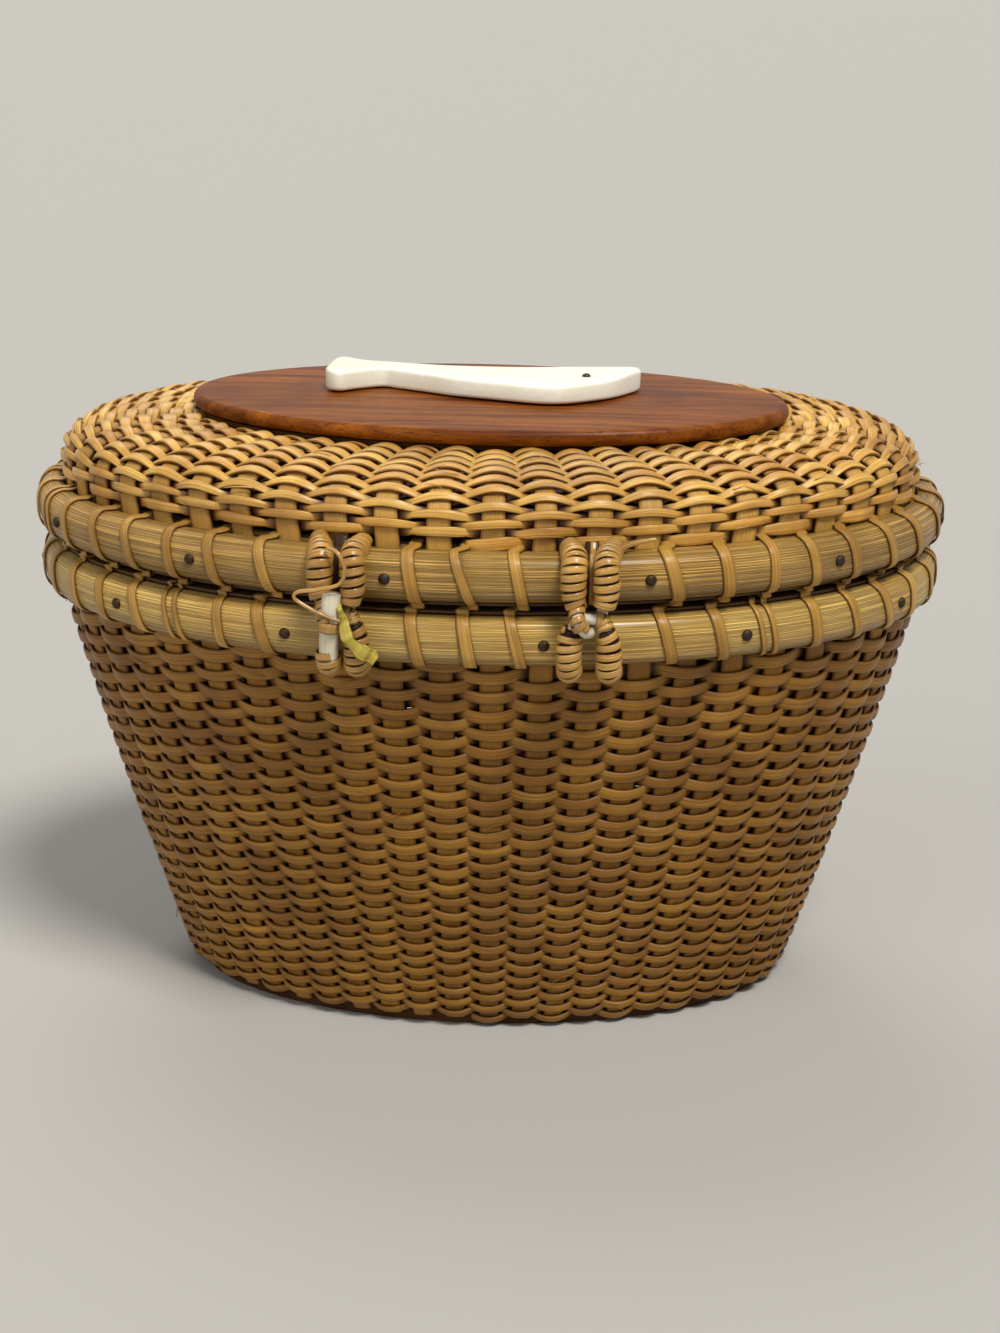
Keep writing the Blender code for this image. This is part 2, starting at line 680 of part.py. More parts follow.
def make_body():
    board = oval_board("base_board", BASE_HALF_LENGTH, BASE_HALF_WIDTH, 0, BASE_THICKNESS, 0, 0, "board")
    groove_board(board, BASE_HALF_LENGTH, BASE_HALF_WIDTH, BASE_GROOVE_HEIGHT)
    rows = body_rows()
    wall("body_wall", rows, (len(rows) - 2,), "stave")
    make_rim("body", BODY_HOOP_BOTTOM, BODY_HOOP_THICKNESS, 1, -LASHING_SHIFT, BODY_FIRST_NAIL_COUNT, None)


def make_rim(prefix, bottom, thickness, upward, shift, first_nail, parent):
    """Two hoops, the cap over the stave tips, three lashing strips and the nails."""
    ring = functools.partial(ring_mesh, half_length=RIM_HALF_LENGTH, half_width=RIM_HALF_WIDTH)
    outer = add_object(prefix + "_outer_hoop", ring(prefix + "_outer", profile=hoop_profile(thickness, bottom)),
                       "hoop", parent)
    top = bottom + HOOP_HEIGHT
    profile = box_profile(INNER_HOOP_END, INNER_HOOP_START, bottom, top)
    add_object(prefix + "_inner_hoop", ring(prefix + "_inner", profile=profile), "hoop", parent)
    if upward > 0:
        low, high = top + CLEARANCE, top + CLEARANCE + CAP_THICKNESS
    else:
        low, high = bottom - CLEARANCE - CAP_THICKNESS, bottom - CLEARANCE
    profile = box_profile(INNER_HOOP_START - CAP_OVERHANG, OUTER_HOOP_START + CAP_OVERHANG, low, high)
    add_object(prefix + "_rim_cap", ring(prefix + "_cap", profile=profile), "cane", parent)
    half = STAVE_COUNT // 2
    clear = HINGE_STAVE_COUNT + 2
    for name, first, last in (
        ("middle", 1 - HINGE_STAVE_COUNT, HINGE_STAVE_COUNT - 1),
        ("right", clear, half),
        ("left", -half, -clear),
    ):
        lashing(f"{prefix}_lashing_{name}", first, last, thickness, bottom, upward, shift, parent)
    nails(prefix, outer, thickness, bottom + HOOP_HEIGHT / 2, first_nail, parent)


def make_lid(lid):
    disc = oval_board("lid_disc", DISC_HALF_LENGTH, DISC_HALF_WIDTH, DISC_BOTTOM, DISC_THICKNESS, 0, 0,
                      "board", lid)
    groove_board(disc, DISC_HALF_LENGTH, DISC_HALF_WIDTH, DISC_GROOVE_HEIGHT)
    wall("lid_wall", lid_rows(), (0,), "stave", lid)
    make_rim("lid", LID_RIM_BOTTOM, LID_HOOP_THICKNESS, -1, LASHING_SHIFT, LID_FIRST_NAIL_COUNT, lid)
    plate = oval_board("lid_plate", PLATE_HALF_LENGTH, PLATE_HALF_WIDTH, PLATE_BOTTOM, PLATE_THICKNESS,
                       PLATE_ROUND, 1, "mahogany", lid)
    plate.data.transform(Matrix.Rotation(PLATE_TURN, 4, "Z"))
    for side, spread in (("left", -SCREW_SPREAD), ("right", SCREW_SPREAD)):
        x, y = plate_place(spread, 0)
        profile = (
            (0, PLATE_BOTTOM + SCREW_BITE),
            (SCREW_RADIUS, PLATE_BOTTOM + SCREW_BITE),
            (SCREW_RADIUS, DISC_BOTTOM - CLEARANCE),
            (SCREW_HEAD_RADIUS, DISC_BOTTOM - CLEARANCE),
            (SCREW_HEAD_RADIUS, DISC_BOTTOM - CLEARANCE - SCREW_HEAD_HEIGHT),
            (0, DISC_BOTTOM - CLEARANCE - SCREW_HEAD_HEIGHT),
        )
        shape = turned_mesh("screw", profile, ROUND_SIDES)
        shape.transform(Matrix.Translation((x, y, 0)))
        add_object(f"plate_screw_{side}", shape, "brass", lid)
        hole = cylinder("screw_hole", SCREW_RADIUS + CLEARANCE, DISC_BOTTOM - CUT_OVERRUN,
                        PLATE_BOTTOM + SCREW_BITE + CLEARANCE, x, y)
        cutter = add_object(f"screw_hole_{side}", hole)
        cut(disc, cutter)
        cut(plate, cutter)
    return plate


def make_whale(plate, lid):
    whale = add_object("whale", whale_mesh(), "bone", lid)
    low = WHALE_BOTTOM - WHALE_PIN_HALF_LENGTH
    high = WHALE_BOTTOM + WHALE_PIN_HALF_LENGTH
    for side, (x_share, y_share) in WHALE_PIN_SHARES.items():
        x, y = plate_place(WHALE_PLACE_X + x_share * WHALE_LENGTH, y_share * WHALE_WIDTH)
        add_object(f"whale_pin_{side}", cylinder("pin", WHALE_PIN_RADIUS, low, high, x, y), "brass", lid)
        hole = cylinder("pin_hole", WHALE_PIN_RADIUS + CLEARANCE, low - CLEARANCE, high + CLEARANCE, x, y)
        cutter = add_object(f"whale_pin_hole_{side}", hole)
        cut(plate, cutter)
        cut(whale, cutter)
    x, y = plate_place(WHALE_PLACE_X + EYE_SHARES[0] * WHALE_LENGTH, EYE_SHARES[1] * WHALE_WIDTH)
    low = WHALE_TOP - EYE_DEPTH
    add_object("whale_eye", cylinder("eye", EYE_RADIUS, low, WHALE_TOP + CLEARANCE, x, y), "inlay", lid)
    socket = cylinder("eye_socket", EYE_RADIUS + CLEARANCE, low - CLEARANCE, WHALE_TOP + CUT_OVERRUN, x, y)
    cut(whale, add_object("whale_eye_socket", socket))


def main():
    centre = oval_at(RIM_HALF_LENGTH, RIM_HALF_WIDTH, (HINGE_STAVE_COUNT + 0.5) / STAVE_COUNT)[0].x
    axis_y = hinge_axis_y(centre)
    lid = bpy.data.objects.new("lid_hinge", None)
    PARTS.objects.link(lid)
    lid.location = (0, axis_y, PARTING)
    print("hinge axis, m:", round(axis_y, 6), round(PARTING, 6), "hinge centres, m:", round(centre, 6))
    make_body()
    plate = make_lid(lid)
    make_whale(plate, lid)
    for side, x in (("left", -centre), ("right", centre)):
        hinge(side, x, axis_y, lid)


clear_scene()
PARTS = make_collection("nantucket basket")
CUTTERS = make_collection("cutters")
main()
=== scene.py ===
# Looks of an oval lidded basket: woven cane, lashed hoops, cane hinges, a mahogany plate and a bone whale.
import json
import math

import bpy
import numpy as np
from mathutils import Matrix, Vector


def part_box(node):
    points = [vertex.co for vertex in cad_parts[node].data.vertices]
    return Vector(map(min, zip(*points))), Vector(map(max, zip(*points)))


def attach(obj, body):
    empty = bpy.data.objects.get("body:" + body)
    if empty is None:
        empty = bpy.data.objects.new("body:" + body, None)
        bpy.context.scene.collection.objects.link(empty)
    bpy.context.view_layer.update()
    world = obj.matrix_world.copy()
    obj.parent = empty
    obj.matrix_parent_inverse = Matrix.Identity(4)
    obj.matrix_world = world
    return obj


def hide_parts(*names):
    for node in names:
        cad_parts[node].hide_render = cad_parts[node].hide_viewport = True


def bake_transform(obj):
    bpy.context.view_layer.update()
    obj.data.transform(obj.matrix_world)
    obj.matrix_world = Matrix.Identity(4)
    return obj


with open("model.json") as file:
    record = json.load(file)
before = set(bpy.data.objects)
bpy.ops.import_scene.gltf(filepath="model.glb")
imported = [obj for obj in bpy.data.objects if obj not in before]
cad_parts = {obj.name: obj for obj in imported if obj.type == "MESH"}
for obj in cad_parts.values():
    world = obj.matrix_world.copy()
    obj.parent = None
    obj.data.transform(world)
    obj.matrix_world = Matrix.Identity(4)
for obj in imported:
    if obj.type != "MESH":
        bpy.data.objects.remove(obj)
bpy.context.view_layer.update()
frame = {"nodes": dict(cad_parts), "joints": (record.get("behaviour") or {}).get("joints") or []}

MM = 0.001

# The ovals that the walls follow.
STAVES = 49
RIM_HALF_LENGTH = 118.5 * MM
RIM_HALF_WIDTH = 79.5 * MM
BASE_HALF_LENGTH = 84.5 * MM
BASE_HALF_WIDTH = 51.0 * MM
DISC_HALF_LENGTH = 80.0 * MM
DISC_HALF_WIDTH = 43.0 * MM
FLARE_POWER = 1.1
DOME_POWER = 3.2
LID_CREST = 1.0 * MM
GROOVE_CLEARANCE = 0.3 * MM
WALL_BEND = 3.0 * MM
SLOT_HEIGHT = 4.2 * MM
FOOT_HEIGHT = 2.7 * MM
FOOT_OFFSET = 1.2 * MM
STAVE_TIP_INSET = 0.6 * MM

# Places read from the frame.
BODY_HOOP_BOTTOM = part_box("body_outer_hoop")[0].z
BODY_HOOP_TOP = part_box("body_outer_hoop")[1].z
LID_HOOP_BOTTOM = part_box("lid_outer_hoop")[0].z
LID_HOOP_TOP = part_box("lid_outer_hoop")[1].z
BASE_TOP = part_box("base_board")[1].z
DISC_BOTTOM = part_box("lid_disc")[0].z
DISC_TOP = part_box("lid_disc")[1].z
PLATE_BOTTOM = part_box("lid_plate")[0].z
PLATE_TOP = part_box("lid_plate")[1].z
WHALE_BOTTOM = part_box("whale")[0].z
WHALE_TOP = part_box("whale")[1].z
HINGE_Y = frame["joints"][0]["pos_m"][1]
HINGE_Z = frame["joints"][0]["pos_m"][2]

# Hoops: offsets outward from the rim oval.
HOOP_FACE = 1.8 * MM
HOOP_FULLNESS = 2.8
HOOP_UNDERSIDE_SHADE = 0.15
BODY_HOOP_THICKNESS = 5.6 * MM
LID_HOOP_THICKNESS = 6.6 * MM
INNER_HOOP_START = -1.5 * MM
INNER_HOOP_END = -5.7 * MM
CAP_THICKNESS = 0.9 * MM
CAP_OVERHANG = 3.0 * MM
CAP_SHOWN = 1.2 * MM
NAILS_PER_HOOP = 12
NAIL_RADIUS_AND_RISE = (
    (0.6, -2.6), (1.45, -0.7), (1.5, -0.2), (1.3, 0.15), (0.9, 0.4), (0.45, 0.52), (0.05, 0.55),
)

# Lashings: one in each gap between staves, but for the gaps that the hinges use.
LASHING_WIDTH = 3.2 * MM
LASHING_THICKNESS = 0.6 * MM
LASHING_LIFT = 0.45 * MM
LASHING_LEAN = 3.4 * MM
LASHING_LEAN_SPREAD = 1.2 * MM
LASHING_STRAY = 0.6 * MM
PAIRED_LASHINGS = 0.1
HINGE_SLOTS = (2, 3, STAVES - 2, STAVES - 3)

# Hinges: loops of reed, wound with cane. Spreads are from the hinge's middle.
LEG_Y = HINGE_Y - 0.75 * MM
LEG_CORE = 2.55 * MM
LEG_SLIMNESS = 0.7
LEG_ENDS = (LEG_SLIMNESS + 0.08, LEG_SLIMNESS + 0.08)
BARE_CORE = 2.6 * MM
LINK_CORE = 1.5 * MM
LINK_REACH = 3.4 * MM
WINDING_RADIUS = 3.05 * MM
WINDING_THICKNESS = 0.65 * MM
WINDING_GAP = 0.4 * MM
LOWER_PITCH = 2.4 * MM
LOOSE_STRIP_THICKNESS = 0.5 * MM
SLOT_SPREAD = 5.6 * MM
UPPER_SPREAD = 4.1 * MM
LOWER_SPREAD = 5.0 * MM

# Plate and whale, which sit turned a little on the lid.
PLATE_HALF_LENGTH = 83.5 * MM
PLATE_HALF_WIDTH = 46.5 * MM
PLATE_TURN = math.radians(-3.5)
WHALE_LENGTH = 87.2 * MM
WHALE_WIDTH = 31.0 * MM
WHALE_PLACE_X = -2.1 * MM
WHALE_SIDE_SQUARENESS = 9.0
WHALE_TOP_SQUARENESS = 6.0

# Staves.
STAVE_THICKNESS = 1.5 * MM
STAVE_WIDTH_SPREAD = 0.025
STAVE_STRAY = 0.2 * MM
BODY_STAVE_WIDTH = 6.5 * MM
FOOT_STAVE_WIDTH = 5.4 * MM
LID_STAVE_WIDTH = 7.2 * MM
DISC_STAVE_WIDTH = 4.8 * MM
LID_GATHER = 0.18

# Weave.
WEAVER_THICKNESS = 0.95 * MM
BODY_SWING = 1.5 * MM
LID_SWING = 1.6 * MM
BODY_SAG = -0.50 * MM
LID_SAG = 0.95 * MM
BODY_TURNS = 47
LID_TURNS = 18
STEPS_PER_STAVE = 12
STAVES_PER_TINT = 31
LOOSE_SHARE = 0.08
PASS_FLATNESS = 0.85
SWING_SPREAD = 0.07
WIDTH_SPREAD = 0.05
OUTSIDE_SWELL = 0.06
INSIDE_SWELL = 0.42
STRAND_SHADOW = 0.85
STRAND_SHADOW_REACH = 0.42 * MM

rng = np.random.default_rng(12)


def linear(red, green, blue):
    """A colour written in display values from 0 to 255, as the shader's linear ones."""
    values = []
    for value in (red, green, blue):
        share = value / 255
        values.append(share / 12.92 if share <= 0.04045 else ((share + 0.055) / 1.055) ** 2.4)
    return (*values, 1)


# Ovals and walls.

def unit(vectors):
    return vectors / np.linalg.norm(vectors, axis=-1, keepdims=True)


def distances(points):
    """How far along a line of points each of them lies."""
    return np.concatenate([[0], np.cumsum(np.linalg.norm(np.diff(points, axis=0), axis=1))])


def oval_points(half_length, half_width, turns):
    """Points and outward normals of an oval, at shares of its perimeter from the -Y point towards +X."""
    angle = np.linspace(0, math.tau, 1441)
    curve = np.stack([half_length * np.sin(angle), -half_width * np.cos(angle)], -1)
    length = distances(curve)
    wanted = np.mod(turns, 1) * length[-1]
    here = np.interp(wanted, length, angle)
    points = np.stack([half_length * np.sin(here), -half_width * np.cos(here), np.zeros_like(here)], -1)
    normals = np.stack([half_width * np.sin(here), -half_length * np.cos(here), np.zeros_like(here)], -1)
    return points, unit(normals)


def rim_points(turns, offsets, heights):
    """Points at offsets outward from the rim's oval."""
    points, normals = oval_points(RIM_HALF_LENGTH, RIM_HALF_WIDTH, turns)
    points = points + normals * np.asarray(offsets)[..., None]
    points[..., 2] = heights
    return points, normals


def oval_length(half_length, half_width):
    """The length of an oval's outline."""
    angle = np.linspace(0, math.tau, 1441)
    steps = np.diff(np.stack([half_length * np.sin(angle), half_width * np.cos(angle)], -1), axis=0)
    return float(np.linalg.norm(steps, axis=1).sum())


RIM_LENGTH = oval_length(RIM_HALF_LENGTH, RIM_HALF_WIDTH)


class Wall:
    """A woven wall: points, outward normals and rising directions at any turn and share of its slope. Towards
    its top the staves gather at the oval's ends by the gather."""

    def __init__(self, rows, gather=0.0):
        rows = np.array(rows)
        length = distances(rows[:, 1:])
        self.slope = length[-1]
        shares = np.linspace(0, 1, 121)
        fine = np.stack([np.interp(shares * self.slope, length, rows[:, k]) for k in range(3)], -1)
        turns = np.linspace(0, 1, STAVES * 8 + 1)
        grid = []
        for share, (half_length, half_width, height) in zip(shares, fine):
            gathered = turns + gather * share * np.sin(2 * math.tau * turns) / (2 * math.tau)
            points = oval_points(half_length, half_width, gathered)[0]
            points[:, 2] = height
            grid.append(points)
        self.grid = np.array(grid)
        around = np.gradient(self.grid, axis=1)
        around[:, 0] = around[:, -1] = self.grid[:, 1] - self.grid[:, -2]
        self.ups = unit(np.gradient(self.grid, axis=0))
        self.normals = unit(np.cross(around, self.ups))

    def at(self, turns, shares):
        """Points, outward normals and rising directions at turns round the wall and shares of its slope."""
        level = np.clip(shares, 0, 1) * (len(self.grid) - 1)
        place = np.mod(turns, 1) * (self.grid.shape[1] - 1)
        low = np.minimum(level.astype(int), len(self.grid) - 2)
        left = np.minimum(place.astype(int), self.grid.shape[1] - 2)
        rise = (level - low)[..., None]
        run = (place - left)[..., None]
        results = []
        for table in (self.grid, self.normals, self.ups):
            below = table[low, left] * (1 - run) + table[low, left + 1] * run
            above = table[low + 1, left] * (1 - run) + table[low + 1, left + 1] * run
            results.append(below * (1 - rise) + above * rise)
        return results[0], unit(results[1]), unit(results[2])


def body_rows():
    """Half length, half width and height of the body's wall, from the base board to the hoops' tops."""
    foot_length = BASE_HALF_LENGTH + WALL_BEND
    foot_width = BASE_HALF_WIDTH + WALL_BEND
    low = BASE_TOP - WALL_BEND / 2
    high = BODY_HOOP_BOTTOM - SLOT_HEIGHT
    rows = [(BASE_HALF_LENGTH + FOOT_OFFSET, BASE_HALF_WIDTH + FOOT_OFFSET, FOOT_HEIGHT)]
    for share in np.linspace(0, 1, 40):
        out = 1 - (1 - share) ** FLARE_POWER
        rows.append((
            foot_length + (RIM_HALF_LENGTH - foot_length) * out,
            foot_width + (RIM_HALF_WIDTH - foot_width) * out,
            low + (high - low) * share,
        ))
    rows.append((RIM_HALF_LENGTH, RIM_HALF_WIDTH, BODY_HOOP_TOP - STAVE_TIP_INSET))
    return rows


def lid_rows():
    """The lid's wall from the stave tips between its hoops, over the dome, to the disc's edge."""
    low = LID_HOOP_TOP + SLOT_HEIGHT
    high = (DISC_BOTTOM + DISC_TOP) / 2
    near_length = DISC_HALF_LENGTH + GROOVE_CLEARANCE
    near_width = DISC_HALF_WIDTH + GROOVE_CLEARANCE
    crest_length = near_length + WALL_BEND
    crest_width = near_width + WALL_BEND
    rows = [(RIM_HALF_LENGTH, RIM_HALF_WIDTH, LID_HOOP_BOTTOM + STAVE_TIP_INSET)]
    for share in np.linspace(0, 1, 60):
        angle = share * math.pi / 2
        run = 1 - max(math.cos(angle), 0) ** (2 / DOME_POWER)
        rise = math.sin(angle) ** (2 / DOME_POWER)
        rows.append((
            RIM_HALF_LENGTH + (crest_length - RIM_HALF_LENGTH) * run,
            RIM_HALF_WIDTH + (crest_width - RIM_HALF_WIDTH) * run,
            low + (high + LID_CREST - low) * rise,
        ))
    rows.append((near_length, near_width, high))
    return rows


# Swept strips.

SPLIT_CANE = np.array([
    (-1.0, -0.15), (-0.95, 0.26), (-0.74, 0.42), (0.0, 0.50), (0.74, 0.42), (0.95, 0.26), (1.0, -0.15),
    (0.85, -0.50), (-0.85, -0.50),
])
FLAT_STRIP = np.array([
    (-1.0, -0.20), (-0.92, 0.30), (-0.65, 0.46), (0.0, 0.50), (0.65, 0.46), (0.92, 0.30), (1.0, -0.20),
    (0.80, -0.50), (-0.80, -0.50),
])
ROUND_ROD = np.array([(math.sin(k * math.tau / 12), math.cos(k * math.tau / 12) / 2) for k in range(12)])
EDGE_SHADE = 0.85
ROD_RINGS = 60


class Strips:
    """Collects swept strips and makes one mesh object of them."""

    def __init__(self):
        self.points = []
        self.marks = []
        self.depths = []
        self.quads = []
        self.caps = []
        self.count = 0

    def add_rings(self, rings, marks, depths, loop=False):
        """Skins rings of points in their order, closed at both ends or, as a loop, back to the first."""
        first = rings[0]
        centre = first.mean(0)
        facing = np.cross(first - centre, np.roll(first, -1, 0) - centre).sum(0)
        if np.dot(facing, rings[1].mean(0) - centre) < 0:
            rings = rings[:, ::-1]
            marks = marks[:, ::-1]
            depths = depths[:, ::-1]
        count, size = rings.shape[:2]
        index = self.count + np.arange(count * size).reshape(count, size)
        if loop:
            closed = np.vstack([index, index[:1]])
        else:
            closed = index
            self.caps.append(index[0][::-1])
            self.caps.append(index[-1])
        near = closed[:-1]
        far = closed[1:]
        quads = np.stack([near, np.roll(near, -1, 1), np.roll(far, -1, 1), far], -1)
        self.quads.append(quads.reshape(-1, 4))
        self.points.append(rings.reshape(-1, 3))
        self.marks.append(marks.reshape(-1, 3))
        self.depths.append(depths.reshape(-1))
        self.count += count * size

    def add(self, centres, outs, acrosses, half_width, thickness, section, seed, depth=1.0):
        """Sweeps a section along centres, and marks each point's place along and across, and the seed."""
        count = len(centres)
        half_width = np.broadcast_to(half_width, count)
        thickness = np.broadcast_to(thickness, count)
        depth = np.broadcast_to(depth, count)
        seed = np.broadcast_to(seed, count)[:, None]
        wide = section[:, 0][None, :] * half_width[:, None]
        tall = section[:, 1][None, :] * thickness[:, None]
        rings = centres[:, None] + acrosses[:, None] * wide[..., None] + outs[:, None] * tall[..., None]
        along = np.broadcast_to(distances(centres)[:, None], wide.shape)
        marks = np.stack([along, wide, np.broadcast_to(seed, wide.shape)], -1)
        # Painted shade: each strip's colour darkens at its two edges, for the shade between neighbouring
        # strips.
        middle = 1 - EDGE_SHADE * np.abs(section[:, 0]) ** 12
        self.add_rings(rings, marks, depth[:, None] * middle[None])

    def make(self, name, material):
        """Makes one piece of all that was added."""
        points = np.concatenate(self.points)
        quads = np.concatenate(self.quads)
        loops = np.concatenate([quads.reshape(-1)] + self.caps).astype(np.int32)
        sizes = np.array([4] * len(quads) + [len(cap) for cap in self.caps], np.int32)
        starts = np.concatenate([[0], np.cumsum(sizes)[:-1]]).astype(np.int32)
        mesh = bpy.data.meshes.new(name)
        mesh.vertices.add(len(points))
        mesh.vertices.foreach_set("co", points.astype(np.float32).reshape(-1))
        mesh.loops.add(len(loops))
        mesh.loops.foreach_set("vertex_index", loops)
        mesh.polygons.add(len(sizes))
        mesh.polygons.foreach_set("loop_start", starts)
        mesh.update(calc_edges=True)
        strand = mesh.attributes.new("strand", "FLOAT_VECTOR", "POINT")
        strand.data.foreach_set("vector", np.concatenate(self.marks).astype(np.float32).reshape(-1))
        depth = mesh.attributes.new("depth", "FLOAT", "POINT")
        depth.data.foreach_set("value", np.concatenate(self.depths).astype(np.float32))
        mesh.shade_smooth()
        mesh.materials.append(material)
        piece = bpy.data.objects.new(name, mesh)
        bpy.context.scene.collection.objects.link(piece)
        return piece


def smooth_random(places, count, spread):
    """A seeded value that eases from one random number to the next at each whole place."""
    values = rng.normal(0, spread, count + 2)
    low = np.clip(places.astype(int), 0, count)
    part = places - low
    part = part * part * (3 - 2 * part)
    return values[low] * (1 - part) + values[low + 1] * part


def curve_through(points, count):
    """A smooth curve through points, evenly stepped."""
    points = np.array(points, float)
    padded = np.vstack([2 * points[0] - points[1], points, 2 * points[-1] - points[-2]])
    pieces = []
    for k in range(len(points) - 1):
        a, b, c, d = padded[k:k + 4]
        t = np.linspace(0, 1, 16, endpoint=False)[:, None]
        line = 2 * b + (c - a) * t
        pieces.append(0.5 * (line + (2 * a - 5 * b + 4 * c - d) * t**2 + (3 * b - a - 3 * c + d) * t**3))
    dense = np.vstack(pieces + [points[-1:]])
    length = distances(dense)
    wanted = np.linspace(0, length[-1], count)
    return np.stack([np.interp(wanted, length, dense[:, k]) for k in range(3)], -1)


def frames_along(points, hint):
    """Outward and across directions of a line of points, the first as near to the hint as they can lie."""
    tangents = unit(np.gradient(points, axis=0))
    hint = np.broadcast_to(np.asarray(hint, float), points.shape)
    acrosses = unit(np.cross(tangents, hint))
    return np.cross(acrosses, tangents), acrosses


def finish_piece(piece, body, slot, *nodes):
    """Puts a piece on its body and lets it stand for its nodes. The slot, the name of its finish, is not
    used.
    """
    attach(piece, body)
    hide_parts(*nodes)


# Shader groups.

class Nodes:
    """Places and links nodes in one tree."""

    def __init__(self, tree):
        self.tree = tree
        self.column = 0

    def add(self, kind, inputs=None, **settings):
        node = self.tree.nodes.new(kind)
        self.column += 1
        node.location = (180 * self.column, -60 * (self.column % 5))
        for name, value in settings.items():
            setattr(node, name, value)
        for name, value in (inputs or {}).items():
            socket = node.inputs[name]
            if isinstance(value, bpy.types.NodeSocket):
                self.tree.links.new(value, socket)
            else:
                socket.default_value = value
        return node

    def math(self, operation, first, second=0.0, clamp=False):
        node = self.add("ShaderNodeMath", {0: first, 1: second}, operation=operation, use_clamp=clamp)
        return node.outputs[0]

    def mix(self, share, first, second):
        node = self.add("ShaderNodeMix", data_type="RGBA")
        for socket, value in ((0, share), (6, first), (7, second)):
            if isinstance(value, bpy.types.NodeSocket):
                self.tree.links.new(value, node.inputs[socket])
            else:
                node.inputs[socket].default_value = value
        return node.outputs[2]

    def span(self, value, low, high):
        """The value stretched so that low is 0 and high is 1."""
        node = self.add("ShaderNodeMapRange", {"Value": value, "From Min": low, "From Max": high})
        return node.outputs["Result"]


def new_group(name, inputs, outputs):
    """An empty group with its named inputs and outputs."""
    tree = bpy.data.node_groups.new(name, "ShaderNodeTree")
    for label, kind, value in inputs:
        socket = tree.interface.new_socket(label, in_out="INPUT", socket_type=kind)
        if value is not None:
            socket.default_value = value
    for label, kind in outputs:
        tree.interface.new_socket(label, in_out="OUTPUT", socket_type=kind)
    nodes = Nodes(tree)
    return tree, nodes, nodes.add("NodeGroupInput"), nodes.add("NodeGroupOutput")


def strand_group():
    """Grain that runs along a cane strand or a bent hoop, and the strand's own tint."""
    tree, nodes, source, target = new_group(
        "strand grain",
        (("Streaks per metre", "NodeSocketFloat", 2600.0), ("Stretch", "NodeSocketFloat", 30.0),
         ("Softness", "NodeSocketFloat", 0.15)),
        (("Streak", "NodeSocketFloat"), ("Blotch", "NodeSocketFloat"), ("Tint", "NodeSocketFloat"),
         ("Height", "NodeSocketFloat")),
    )
    strand = nodes.add("ShaderNodeAttribute", attribute_name="strand").outputs["Vector"]
    parts = nodes.add("ShaderNodeSeparateXYZ", {0: strand})
    along = nodes.math("MULTIPLY", parts.outputs[0], source.outputs["Stretch"])
    across = nodes.math("MULTIPLY", parts.outputs[1], source.outputs["Streaks per metre"])
    shift = nodes.math("MULTIPLY", parts.outputs[2], 7.31)
    place = nodes.add("ShaderNodeCombineXYZ", {0: along, 1: across, 2: shift}).outputs[0]
    fine = nodes.add("ShaderNodeTexNoise", {"Vector": place, "Scale": 1.0, "Detail": 3.0, "Roughness": 0.6})
    low = nodes.math("SUBTRACT", 0.5, source.outputs["Softness"])
    high = nodes.math("ADD", 0.5, source.outputs["Softness"])
    streak = nodes.span(fine.outputs["Fac"], low, high)
    broad_along = nodes.math("MULTIPLY", parts.outputs[0], 45.0)
    broad = nodes.add("ShaderNodeCombineXYZ", {0: broad_along, 1: shift, 2: 0.0}).outputs[0]
    cloud = nodes.add("ShaderNodeTexNoise", {"Vector": broad, "Scale": 1.0, "Detail": 2.0})
    blotch = nodes.span(cloud.outputs["Fac"], 0.3, 0.7)
    chance = nodes.add("ShaderNodeTexWhiteNoise", {"W": parts.outputs[2]}, noise_dimensions="1D")
    tint = chance.outputs["Value"]
    for label, value in (("Streak", streak), ("Blotch", blotch), ("Tint", tint), ("Height", streak)):
        tree.links.new(value, target.inputs[label])
    return tree


def figure_group():
    """Straight wood figure along X with dark pores."""
    tree, nodes, source, target = new_group(
        "board figure",
        (("Bands per metre", "NodeSocketFloat", 260.0), ("Pores per metre", "NodeSocketFloat", 2400.0)),
        (("Figure", "NodeSocketFloat"), ("Pores", "NodeSocketFloat"), ("Height", "NodeSocketFloat")),
    )
    place = nodes.add("ShaderNodeTexCoord").outputs["Object"]
    bent = nodes.add("ShaderNodeTexNoise", {"Vector": place, "Scale": 14.0, "Detail": 2.0})
    warp = nodes.math("MULTIPLY", bent.outputs["Fac"], 0.02)
    parts = nodes.add("ShaderNodeSeparateXYZ", {0: place})
    side = nodes.math("ADD", parts.outputs[1], warp)
    slow = nodes.math("MULTIPLY", parts.outputs[0], 0.06)
    stretched = nodes.add("ShaderNodeCombineXYZ", {0: slow, 1: side, 2: parts.outputs[2]}).outputs[0]
    bands = nodes.add(
        "ShaderNodeTexNoise",
        {"Vector": stretched, "Scale": source.outputs["Bands per metre"], "Detail": 3.0},
    )
    figure = nodes.span(bands.outputs["Fac"], 0.35, 0.68)
    grains = nodes.add(
        "ShaderNodeTexNoise",
        {"Vector": stretched, "Scale": source.outputs["Pores per metre"], "Detail": 1.0},
    )
    pores = nodes.span(grains.outputs["Fac"], 0.54, 0.68)
    height = nodes.math("SUBTRACT", 1.0, pores)
    for label, value in (("Figure", figure), ("Pores", pores), ("Height", height)):
        tree.links.new(value, target.inputs[label])
    return tree


